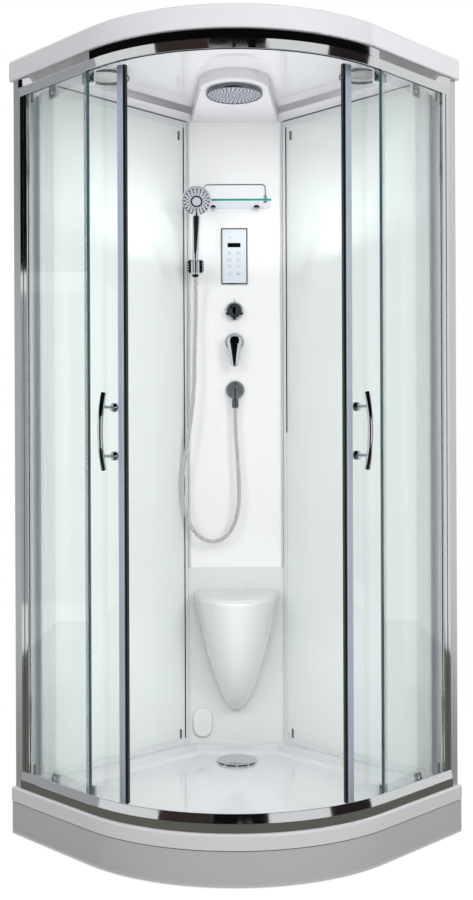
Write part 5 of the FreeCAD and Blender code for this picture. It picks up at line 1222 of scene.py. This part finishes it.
    def diverter(self) -> None:
        """Diverter knob: bright skirt, dome darkened as a painted reflection, three grips and a pointer, and
        the mark above it.
        """
        place = Matrix.Translation((self.valve_x, self.knob_rear, self.diverter_z))
        place = place @ Matrix.Rotation(math.pi / 2.0, 4, "X")
        Bench.turned("diverter_skirt", (
            (7.5, 0.0), (26.6, 0.0), (28.0, 1.4), (28.0, 7.0), (27.2, 9.4), (25.0, 11.0), (22.4, 11.4),
            (7.5, 11.4), (7.5, 0.0),
        ), place, Palette.CHROME, "diverter_knob", ["diverter_knob"])
        # Dome: chrome with its colour darkened to paint in the dark room that it reflects.
        Bench.turned("diverter_dome", (
            (0.0, 9.0), (25.0, 9.0), (25.2, 12.0), (24.6, 17.0), (22.4, 23.0), (18.6, 28.0), (13.2, 31.8),
            (6.6, 33.7), (0.0, 34.0),
        ), place, Palette.DOME, "diverter_knob")
        bm = bmesh.new()
        for angle in self.lug_angles:
            Bench.bar(bm, (22.0, -4.2, 3.0), (29.4, 4.2, 17.0), 1.8,
                      place @ Matrix.Rotation(math.radians(angle), 4, "Z"))
        Bench.build("diverter_grips", bm, Palette.BLACK_CHROME, "diverter_knob")
        tick = bmesh.new()
        Bench.bar(tick, (21.0, -1.4, 9.0), (28.4, 1.4, 14.0), 0.6,
                  place @ Matrix.Rotation(math.pi / 2.0, 4, "Z"))
        Bench.build("diverter_pointer", tick, Palette.CHROME, "diverter_knob")
        top = Vector((self.valve_x, self.column_face, self.diverter_z + self.index_rise))
        half = Vector((1.2, 0.4, 3.0)) * MM
        Bench.slab("diverter_index", top - half, top + half, 0.2 * MM, Palette.ICON)

    def lever(self) -> None:
        """Crowned mixer lever that narrows to its tip, with its tongue to the pin."""
        low, high = corners("mixer_lever")
        bm = bmesh.new()
        top, tip = high.z - self.lever_head, low.z + self.lever_tip
        stations, radii = [], []
        for step in range(self.lever_steps + 1):
            height = high.z + (low.z - high.z) * (step / self.lever_steps)
            if height > top:
                radius = math.sqrt(max(self.lever_head ** 2 - (height - top) ** 2, 1e-9))
            elif height < tip:
                radius = math.sqrt(max(self.lever_tip ** 2 - (tip - height) ** 2, 1e-9))
            else:
                share = (height - tip) / (top - tip)
                radius = self.lever_tip + (self.lever_head - self.lever_tip) * share
            radius = max(radius, self.lever_least)
            rise = max(0.0, (height - top + self.lever_head / 2.0) / self.lever_head)
            back = self.lever_lean * rise ** 2
            depth = self.lever_depth * min(1.0, radius / self.lever_tip)
            stations.append(Matrix.Translation((self.valve_x, low.y + self.lever_crown + back, height))
                            @ Matrix.Diagonal((1.0, depth / radius, 1.0, 1.0)))
            radii.append(radius)
        Bench.sweep(bm, stations, radii, 40)
        pin = Vector((self.valve_x, *self.lever_pin))
        Bench.block(bm, Vector((pin.x - 6 * MM, low.y + self.lever_crown, pin.z - 4.4 * MM)),
                    Vector((pin.x + 6 * MM, pin.y, pin.z + 4.4 * MM)), 1.0 * MM)
        wide, narrow, long = self.pin_radius, self.pin_radius - self.pin_round, 2.0 * self.pin_half
        barrel = ((0.0, 0.0), (narrow, 0.0), (wide, self.pin_round), (wide, long - self.pin_round),
                  (narrow, long), (0.0, long))
        Bench.lathe(bm, [(r * MM, h * MM) for r, h in barrel], pin - RIGHT * self.pin_half * MM,
                    RIGHT, 32)
        Bench.build("mixer_lever_crowned", bm, Palette.CHROME, "mixer_lever", ["mixer_lever"])

    def outlet(self) -> None:
        """Domed hose outlet with its downward neck and knurled nut."""
        rear = Vector(self.outlet_place)
        bm = bmesh.new()
        dome = ((0.0, 0.0), (29.0, 0.0), (30.0, 1.2), (30.2, 4.0), (29.8, 8.0), (28.4, 13.0), (26.0, 17.6),
                (22.6, 22.0), (18.4, 26.0), (13.6, 29.4), (7.6, 31.8), (0.0, 33.0))
        Bench.lathe(bm, [(r * MM, h * MM) for r, h in dome], rear, FRONT)
        knee = rear + FRONT * self.outlet_reach
        neck = ((0.0, -9.4), (5.6, -8.6), (9.4, -5.6), (11.0, 0.0), (10.8, 8.0), (10.0, 12.0), (10.0, 31.0),
                (8.8, 31.6), (8.8, 33.0), (10.0, 33.8), (10.0, 56.0), (9.2, 59.6), (0.0, 59.6))
        Bench.lathe(bm, [(r * MM, h * MM) for r, h in neck], knee, -UP, 48)
        nut = Bench.facing(knee, -UP)
        for rib in Bench.around(nut, self.knurl_ring, self.knurl_count, self.knurl_start):
            Bench.bar(bm, (-0.5, -0.7, 0.0), (0.55, 0.7, 20.0), 0.25, rib)
        Bench.build("hose_outlet_dome", bm, Palette.DARK_CHROME, "cabin", ["hose_outlet"])


@dataclass
class Shelf:
    """Glass shelf with its guard rail."""

    wire_half: float = 96 * MM
    wire_y: float = 237.5 * MM
    sleeve_drop: float = 7 * MM
    edge_proud: float = 0.3 * MM
    edge_depth: float = 1.2 * MM

    def build(self) -> None:
        """Dress the shelf and polish its front edge."""
        Bench.dress("shelf_glass", Palette.SHELF_GLASS)
        Bench.refined("shelf_rail", Palette.CHROME)
        low, high = corners("shelf_glass")
        Bench.slab("shelf_front_edge",
                   Vector((low.x + 0.2 * MM, low.y - self.edge_proud, low.z - 0.1 * MM)),
                   Vector((high.x - 0.2 * MM, low.y + self.edge_depth, high.z + 0.1 * MM)), 0.4 * MM,
                   Palette.TEAL_EDGE)
        for side, word in ((-1.0, "left"), (1.0, "right")):
            place = Matrix.Translation((side * self.wire_half, self.wire_y, low.z - self.sleeve_drop))
            Bench.turned("shelf_sleeve_" + word, (
                (0.0, 0.0), (5.2, 0.0), (6.6, 1.4), (6.6, 24.6), (5.2, 26.0), (2.6, 26.4), (0.0, 26.4),
            ), place, Palette.CHROME, steps=32)


@dataclass
class HandShower:
    """Holder, cradle, handset and hose."""

    grip: Point = (-126 * MM, 275.987 * MM, 1668.5 * MM)
    tilt: float = 20.0
    head_centre: float = 206 * MM
    head_tilt: float = 12.0
    spray_rings: tuple[tuple[float, int, float, float], ...] = (
        (22.6, 16, 1.7, 1.6), (29.6, 18, 2.2, 1.6), (37.2, 20, 2.6, 1.6),
    )
    rib_heights: tuple[float, ...] = (-13.0, -4.5, 4.0, 12.5)
    rib_half: float = 1.7
    lean: float = 2.4
    lean_height: float = 22 * MM
    inlay_start: float = 34 * MM
    inlay_end: float = 166 * MM
    inlay_low: float = 3.6 * MM
    inlay_high: float = 9.6 * MM
    inlay_depth: float = 3.4 * MM
    inlay_sunk: float = 0.72
    inlay_steps: int = 28
    inlay_round: float = 9.0
    inlay_least: float = 0.02
    grip_low: float = 10.4
    grip_swell: float = 2.6
    spray_turn: float = 9.0
    stub_radius: float = 5.4
    stub_length: float = 60.0
    stub_taper: float = 6.0
    stub_tip: float = 3.6
    nut_end: float = 34.0
    hose_radius: float = 6.5 * MM
    route: tuple[Point, ...] = (
        (-0.0010, 0.3225, 1.218), (-0.0010, 0.3225, 1.156), (0.0045, 0.3200, 1.078),
        (0.0090, 0.3170, 0.996), (0.0110, 0.3150, 0.920), (0.0000, 0.3135, 0.855),
        (-0.0280, 0.3120, 0.806), (-0.0720, 0.3100, 0.787), (-0.1160, 0.3080, 0.802),
        (-0.1480, 0.3065, 0.842), (-0.1670, 0.3050, 0.905), (-0.1730, 0.3035, 0.985),
        (-0.1580, 0.3020, 1.080), (-0.1420, 0.3010, 1.185), (-0.1315, 0.3015, 1.290),
        (-0.1310, 0.3040, 1.395), (-0.1270, 0.3090, 1.490), (-0.1260, 0.31258, 1.56795),
        (-0.1260, 0.287616, 1.63655),
    )
    rib_pitch: float = 3.2 * MM
    rib_depth: float = 0.5 * MM
    rib_rings: int = 3
    path_pitch: float = 10 * MM

    def build(self) -> None:
        """Dress the holder, turn the handset and lay the hose."""
        Bench.refined("holder_bracket", Palette.CHROME)
        self.cradle()
        self.handset()
        self.hose()

    @property
    def stem_frame(self) -> Matrix:
        """Frame at the grip with Z up the handset."""
        return Matrix.Translation(self.grip) @ Matrix.Rotation(math.radians(self.tilt), 4, "X")

    @property
    def grip_frame(self) -> Matrix:
        """Frame of the handle above the cradle, leant a little to the right."""
        pivot = Matrix.Translation((0.0, 0.0, self.lean_height))
        leant = Matrix.Rotation(math.radians(self.lean), 4, "Y")
        return self.stem_frame @ pivot @ leant @ pivot.inverted()

    @property
    def head_frame(self) -> Matrix:
        """Frame at the head's middle with Z out of its spray face."""
        turned = Matrix.Rotation(math.radians(self.head_tilt + 90.0), 4, "X")
        return self.grip_frame @ Matrix.Translation((0.0, 0.0, self.head_centre)) @ turned

    def cradle(self) -> None:
        """Forked cradle with dark inlays and rubber ribs on its ears."""
        Bench.refined("holder_cradle", Palette.CHROME)
        pads = [((8.6, -12.2, -18.5), (14.6, -9.6, 18.5), 0.8)]
        for height in self.rib_heights:
            pads.append(((17.0, -12.4, height - self.rib_half), (27.0, 9.4, height + self.rib_half), 1.2))
        bm = bmesh.new()
        for side in (-1.0, 1.0):
            for low, high, edge in pads:
                near, far = sorted((side * low[0], side * high[0]))
                Bench.bar(bm, (near, *low[1:]), (far, *high[1:]), edge, self.stem_frame)
        Bench.build("cradle_ribs", bm, Palette.MAGNET, "holder_cradle")

    def handset(self) -> None:
        """Chrome handle and head, spray face, rings of nozzles, dark ring and middle disc."""
        Bench.turned("handset_handle", (
            (0.0, -34.0), (8.3, -34.0), (9.0, -33.2), (9.0, -22.0), (9.6, -20.6), (10.6, -20.0),
            (12.4, 20.0), (12.0, 21.2), (10.8, 22.4), (10.2, 26.0), (9.8, 32.0), (0.0, 32.0),
        ), self.stem_frame, Palette.CHROME, "handset", ["handset"])
        Bench.turned("handset_grip", (
            (0.0, 22.0), (9.6, 22.0), (10.3, 26.0), (10.4, 50.0), (10.9, 80.0),
            (11.7, 115.0), (12.6, 145.0), (13.4, 160.0), (13.6, 168.0), (11.0, 178.0), (0.0, 184.0),
        ), self.grip_frame, Palette.CHROME, "handset")
        self.inlay()
        Bench.turned("handset_hose_nut", (
            (0.0, -34.0), (9.4, -34.0), (10.6, -33.0), (10.6, -26.6), (9.4, -25.6), (0.0, -25.6),
        ), self.stem_frame, Palette.BLACK_CHROME, "handset", steps=32)
        Bench.turned("handset_head", (
            (0.0, -15.0), (20.0, -15.0), (27.0, -14.1), (36.0, -10.6), (42.4, -5.8), (45.4, -1.0),
            (46.0, 3.6), (45.7, 8.4), (44.8, 10.8), (43.4, 11.9), (42.2, 11.6), (41.9, 10.6), (0.0, 10.6),
        ), self.head_frame, Palette.CHROME, "handset", steps=80)
        Bench.turned("spray_plate", (
            (0.0, 10.4), (41.7, 10.4), (41.7, 11.2), (41.0, 11.7), (30.0, 12.1), (19.0, 12.3), (0.0, 12.3),
        ), self.head_frame, Palette.HEAD_FACE, "handset", steps=80)
        Bench.turned("spray_ring", (
            (13.8, 12.0), (13.8, 12.9), (14.4, 13.3), (17.8, 13.3), (18.6, 12.8), (18.6, 12.0), (13.8, 12.0),
        ), self.head_frame, Palette.NOZZLE, "handset")
        Bench.turned("spray_disc", (
            (0.0, 12.0), (13.6, 12.0), (13.6, 12.7), (12.8, 13.1), (0.0, 13.4),
        ), self.head_frame, Palette.HEAD_FACE, "handset")
        bm = bmesh.new()
        for index, (radius, count, size, stretch) in enumerate(self.spray_rings):
            ring = Bench.around(self.head_frame, radius * MM, count, 11.8 * MM, self.spray_turn * index)
            Bench.studs(bm, ring, size * MM, 1.3 * MM, stretch)
        Bench.build("spray_nozzles", bm, Palette.MAGNET, "handset")
        end = self.nut_end + self.stub_length
        Bench.turned("hose_tail", (
            (0.0, -32.0), (self.stub_radius, -32.0), (self.stub_radius, self.stub_taper - end),
            (self.stub_tip, -end), (0.0, -end),
        ), self.stem_frame, Palette.HOSE, "handset", steps=24)

    def inlay(self) -> None:
        """Dark inlay along the grip's front, round at both ends."""
        stations, radii = [], []
        for step in range(self.inlay_steps + 1):
            share = step / self.inlay_steps
            width = self.inlay_low + (self.inlay_high - self.inlay_low) * share
            ends = max(0.0, 1.0 - self.inlay_round * min(share, 1.0 - share))
            height = self.inlay_start + (self.inlay_end - self.inlay_start) * share
            sunk = -(self.grip_low + self.grip_swell * share) * MM + self.inlay_depth * self.inlay_sunk
            stations.append(self.grip_frame @ Matrix.Translation((0.0, sunk, height))
                            @ Matrix.Diagonal((1.0, self.inlay_depth / width, 1.0, 1.0)))
            radii.append(width * math.sqrt(max(1.0 - ends ** 2, self.inlay_least)))
        bm = bmesh.new()
        Bench.sweep(bm, stations, radii, 24)
        Bench.build("handset_inlay", bm, Palette.MAGNET, "handset")

    def centre_line(self) -> list[Vector]:
        """Points along the smooth line that the route controls."""
        curve = bpy.data.curves.new("hose_route", "CURVE")
        curve.dimensions = "3D"
        spline = curve.splines.new("NURBS")
        spline.points.add(len(self.route) - 1)
        for point, place in zip(spline.points, self.route):
            point.co = (*place, 1.0)
        spline.order_u = 3
        spline.use_endpoint_u = True
        spline.resolution_u = 24
        holder = bpy.data.objects.new("hose_route", curve)
        bpy.context.scene.collection.objects.link(holder)
        mesh = bpy.data.meshes.new_from_object(holder)
        line = [vert.co.copy() for vert in mesh.vertices]
        bpy.data.meshes.remove(mesh)
        bpy.data.objects.remove(holder)
        bpy.data.curves.remove(curve)
        return line

    @staticmethod
    def spaced(line: Sequence[Vector], pitch: float) -> list[Vector]:
        """Points at equal steps along a line."""
        points = [line[0].copy()]
        carried = 0.0
        for start, end in zip(line, line[1:]):
            length = (end - start).length
            at = pitch - carried
            while at <= length:
                points.append(start.lerp(end, at / length))
                at += pitch
            carried = length - (at - pitch)
        points.append(line[-1].copy())
        return points

    def hose(self) -> None:
        """Wound metal hose with its ribs, from the outlet to the handset."""
        line = self.centre_line()
        points = self.spaced(line, self.rib_pitch / self.rib_rings)
        radii = [self.hose_radius - (0.0 if index % self.rib_rings else self.rib_depth)
                 for index in range(len(points))]
        bm = bmesh.new()
        Bench.sweep(bm, Bench.stations(points), radii, 14)
        bmesh.ops.recalc_face_normals(bm, faces=bm.faces)
        mesh = Bench.mesh(bm, "shower_hose_wound")
        piece = Bench.place("shower_hose_wound", mesh, Palette.HOSE, "", ["shower_hose"])
        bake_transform(piece)
        [tuple(point) for point in self.spaced(line, self.path_pitch)]


# ---------------------------------------------------------------- studio
def flat_sheet(name: str, width: float, height: float) -> bpy.types.Mesh:
    """Flat rectangle about the origin, facing up."""
    bm = bmesh.new()
    bmesh.ops.create_grid(bm, x_segments=1, y_segments=1, size=1.0,
                          matrix=Matrix.Diagonal((width / 2.0, height / 2.0, 1.0, 1.0)))
    mesh = bpy.data.meshes.new(name)
    bm.to_mesh(mesh)
    bm.free()
    return mesh


@dataclass(frozen=True)
class Stand:
    """Rectangle of the studio that stands at a place and faces a point."""

    name: str
    place: Point
    aim: Point
    width: float
    height: float

    def put(self, data: bpy.types.ID, front: str, hidden: Sequence[str]) -> Piece:
        """Stand the data up as an object.

        Args:
            data: mesh or light.
            front: axis that faces the point.
            hidden: rays that do not see it.

        Returns:
            The object.
        """
        made = bpy.data.objects.new(self.name, data)
        bpy.context.scene.collection.objects.link(made)
        made.location = self.place
        towards = Vector(self.aim) - Vector(self.place)
        made.rotation_euler = towards.to_track_quat(front, "Y").to_euler()
        for ray in hidden:
            setattr(made, "visible_" + ray, False)
        return made


@dataclass(frozen=True)
class Card(Stand):
    """Flat panel that only shiny surfaces reflect."""

    shade: Colour

    def build(self) -> None:
        """Stand the card up, seen by reflections alone."""
        mesh = flat_sheet(self.name, self.width, self.height)
        surface = Surface(self.name)
        glow = surface.add("ShaderNodeEmission", {"Color": tone(*self.shade), "Strength": 1.0})
        mesh.materials.append(surface.shown(glow.outputs["Emission"]))
        self.put(mesh, "Z", ("camera", "diffuse", "transmission", "volume_scatter", "shadow"))


@dataclass(frozen=True)
class Lamp(Stand):
    """Soft rectangular lamp."""

    power: float
    spread: float = 180.0

    def build(self) -> None:
        """Stand the lamp up; it only lights and is never seen."""
        data = bpy.data.lights.new(self.name, "AREA")
        data.shape = "RECTANGLE"
        data.size = self.width
        data.size_y = self.height
        data.energy = self.power
        data.spread = math.radians(self.spread)
        self.put(data, "-Z", ("camera", "glossy", "transmission"))


@dataclass
class Studio:
    """Camera, floor, world, lamps and cards. Camera, mirror and glass rays see it directly."""

    camera_place: Point = (2.5 * MM, -3295.2 * MM, 1083.7 * MM)
    camera_roll: float = 0.0039
    focal_pixels: float = 1125.0
    sensor: float = 36.0
    world_light: float = 0.62
    floor_near: float = 0.95
    floor_far: float = 1.7
    floor_glow: float = 0.7
    floor_grey: float = 0.5
    floor_side: float = 80.0
    direct: tuple[str, ...] = ("Is Camera Ray", "Is Glossy Ray", "Is Transmission Ray")
    cards: tuple[Card, ...] = (
        Card("high_wall_front", (0.0, -5.4, 3.9), (0.0, 0.0, 3.9), 11.0, 3.1, (14, 14, 15)),
        Card("high_wall_left", (-5.4, -2.0, 3.9), (0.0, -2.0, 3.9), 7.0, 3.1, (16, 16, 18)),
        Card("high_wall_right", (5.4, -3.05, 3.9), (0.0, -3.05, 3.9), 4.9, 3.1, (16, 16, 18)),
        Card("dark_ceiling", (0.0, -2.0, 5.4), (0.0, -2.0, 0.0), 11.0, 7.4, (14, 14, 15)),
        Card("low_wall_left", (-3.3, -5.4, 1.2), (-3.3, 0.0, 1.2), 4.0, 2.3, (64, 54, 52)),
        Card("low_wall_middle", (0.2, -5.42, 1.2), (0.2, 0.0, 1.2), 3.0, 2.3, (18, 17, 19)),
        Card("side_wall_left", (-5.4, 0.9, 0.9), (0.0, 0.9, 0.9), 3.0, 2.6, (184, 185, 188)),
        Card("low_wall_right", (5.4, -2.45, 1.2), (0.0, -2.45, 1.2), 3.1, 2.3, (44, 38, 40)),
        Card("olive_floor", (0.0, -0.7, 0.01), (0.0, -0.7, 3.0), 9.0, 2.2, (112, 112, 104)),
        Card("far_floor", (0.0, -3.6, 0.01), (0.0, -3.6, 3.0), 9.0, 3.6, (30, 28, 28)),
        Card("window_left", (-0.68, -5.35, 1.0), (-0.68, 0.0, 1.0), 1.2, 0.055, (206, 210, 204)),
        Card("window_middle", (0.4, -5.35, 1.0), (0.4, 0.0, 1.0), 0.62, 0.055, (190, 194, 190)),
        Card("window_right", (1.5, -5.35, 1.0), (1.5, 0.0, 1.0), 0.75, 0.05, (128, 128, 130)),
        Card("window_low_left", (0.15, -5.35, 1.25), (0.15, 0.0, 1.25), 0.26, 0.03, (206, 214, 214)),
        Card("window_low_right", (0.62, -5.35, 1.25), (0.62, 0.0, 1.25), 0.3, 0.03, (200, 210, 208)),
    )
    lamps: tuple[Lamp, ...] = (
        Lamp("left_lamp", (-1.9, -2.9, 2.5), (0.0, 0.0, 1.3), 1.0, 1.5, 29.0),
        Lamp("right_lamp", (2.0, -2.9, 2.6), (0.0, 0.0, 1.3), 1.0, 1.5, 52.0),
        Lamp("doorway_fill", (0.0, -0.46, 1.26), (0.0, 0.4, 1.26), 0.46, 1.7, 1.8, 120.0),
        Lamp("basin_fill", (0.0, -0.36, 0.62), (0.0, 0.16, 0.1), 0.4, 0.3, 0.66, 120.0),
        Lamp("ceiling_fill", (0.0, -0.08, 1.72), (0.0, 0.0, 2.2), 0.6, 0.5, 1.55),
        Lamp("left_wall_fill", (-0.1, -0.4, 1.15), (-0.62, -0.02, 1.15), 0.2, 1.7, 0.7, 70.0),
        Lamp("right_wall_fill", (0.1, -0.4, 1.15), (0.62, -0.02, 1.15), 0.2, 1.7, 0.45, 70.0),
    )

    def build(self) -> None:
        """Set the whole studio up."""
        scene = bpy.context.scene
        scene.view_settings.view_transform = "Standard"
        self.camera(scene)
        self.floor()
        self.world(scene)
        for stand in (*self.lamps, *self.cards):
            stand.build()

    def camera(self, scene: bpy.types.Scene) -> None:
        """Camera at the photograph's place and angle."""
        data = bpy.data.cameras.new("camera")
        data.sensor_fit = "VERTICAL"
        data.sensor_height = self.sensor
        data.lens = self.sensor * self.focal_pixels / IMAGE_HEIGHT
        data.clip_end = 100.0
        camera = bpy.data.objects.new("camera", data)
        scene.collection.objects.link(camera)
        camera.location = self.camera_place
        camera.rotation_euler = (math.pi / 2.0, self.camera_roll, 0.0)
        scene.camera = camera

    def floor(self) -> None:
        """White floor that keeps the cabin's shadow and fades into the surround."""
        mesh = flat_sheet("studio_floor", self.floor_side, self.floor_side)
        plate = bpy.data.objects.new("studio_floor", mesh)
        bpy.context.scene.collection.objects.link(plate)
        graph = Surface("studio_floor")
        grey = (self.floor_grey, self.floor_grey, self.floor_grey, 1.0)
        lit = graph.add("ShaderNodeBsdfDiffuse", {"Color": grey})
        glow = graph.add("ShaderNodeEmission", {"Strength": self.floor_glow})
        near = graph.add("ShaderNodeAddShader", {0: lit.outputs["BSDF"], 1: glow.outputs["Emission"]})
        far = graph.add("ShaderNodeEmission", {"Strength": 1.0})
        place = graph.add("ShaderNodeTexCoord")
        distance = graph.add("ShaderNodeVectorMath", {0: place.outputs["Object"]}, operation="LENGTH")
        fade = graph.add("ShaderNodeMapRange", {"Value": distance.outputs["Value"],
                                                "From Min": self.floor_near,
                                                "From Max": self.floor_far},
                         interpolation_type="SMOOTHSTEP")
        shown = graph.add("ShaderNodeMixShader", {"Fac": fade.outputs["Result"],
                                                  1: near.outputs["Shader"], 2: far.outputs["Emission"]})
        bounce = graph.add("ShaderNodeBsdfDiffuse", {"Color": grey})
        mixed = graph.add("ShaderNodeMixShader", {"Fac": graph.rays(*self.direct),
                                                  1: bounce.outputs["BSDF"], 2: shown.outputs["Shader"]})
        mesh.materials.append(graph.shown(mixed.outputs["Shader"]))

    def world(self, scene: bpy.types.Scene) -> None:
        """Plain white surround, dimmer as a light than it looks."""
        world = bpy.data.worlds.new("studio")
        scene.world = world
        world.use_nodes = True
        world.node_tree.nodes.clear()
        graph = Graph(world.node_tree)
        strength = graph.add("ShaderNodeMapRange", {"Value": graph.rays(*self.direct),
                                                    "To Min": self.world_light, "To Max": 1.0})
        sky = graph.add("ShaderNodeBackground", {"Color": (1.0, 1.0, 1.0, 1.0),
                                                 "Strength": strength.outputs["Result"]})
        graph.add("ShaderNodeOutputWorld", {"Surface": sky.outputs["Background"]})


def main() -> None:
    """Build the cabin in order and report each part."""
    logging.basicConfig(level=logging.INFO, format="%(message)s")
    parts = (
        Base(),
        BackWalls(),
        Column(),
        FrontFrame(),
        SlidingDoor("right"),
        SlidingDoor("left"),
        Roof(),
        Controls(),
        Shelf(),
        HandShower(),
        Studio(),
    )
    for part in parts:
        part.build()
        LOG.info("built %s", type(part).__name__)


if __name__ == "__main__":
    main()
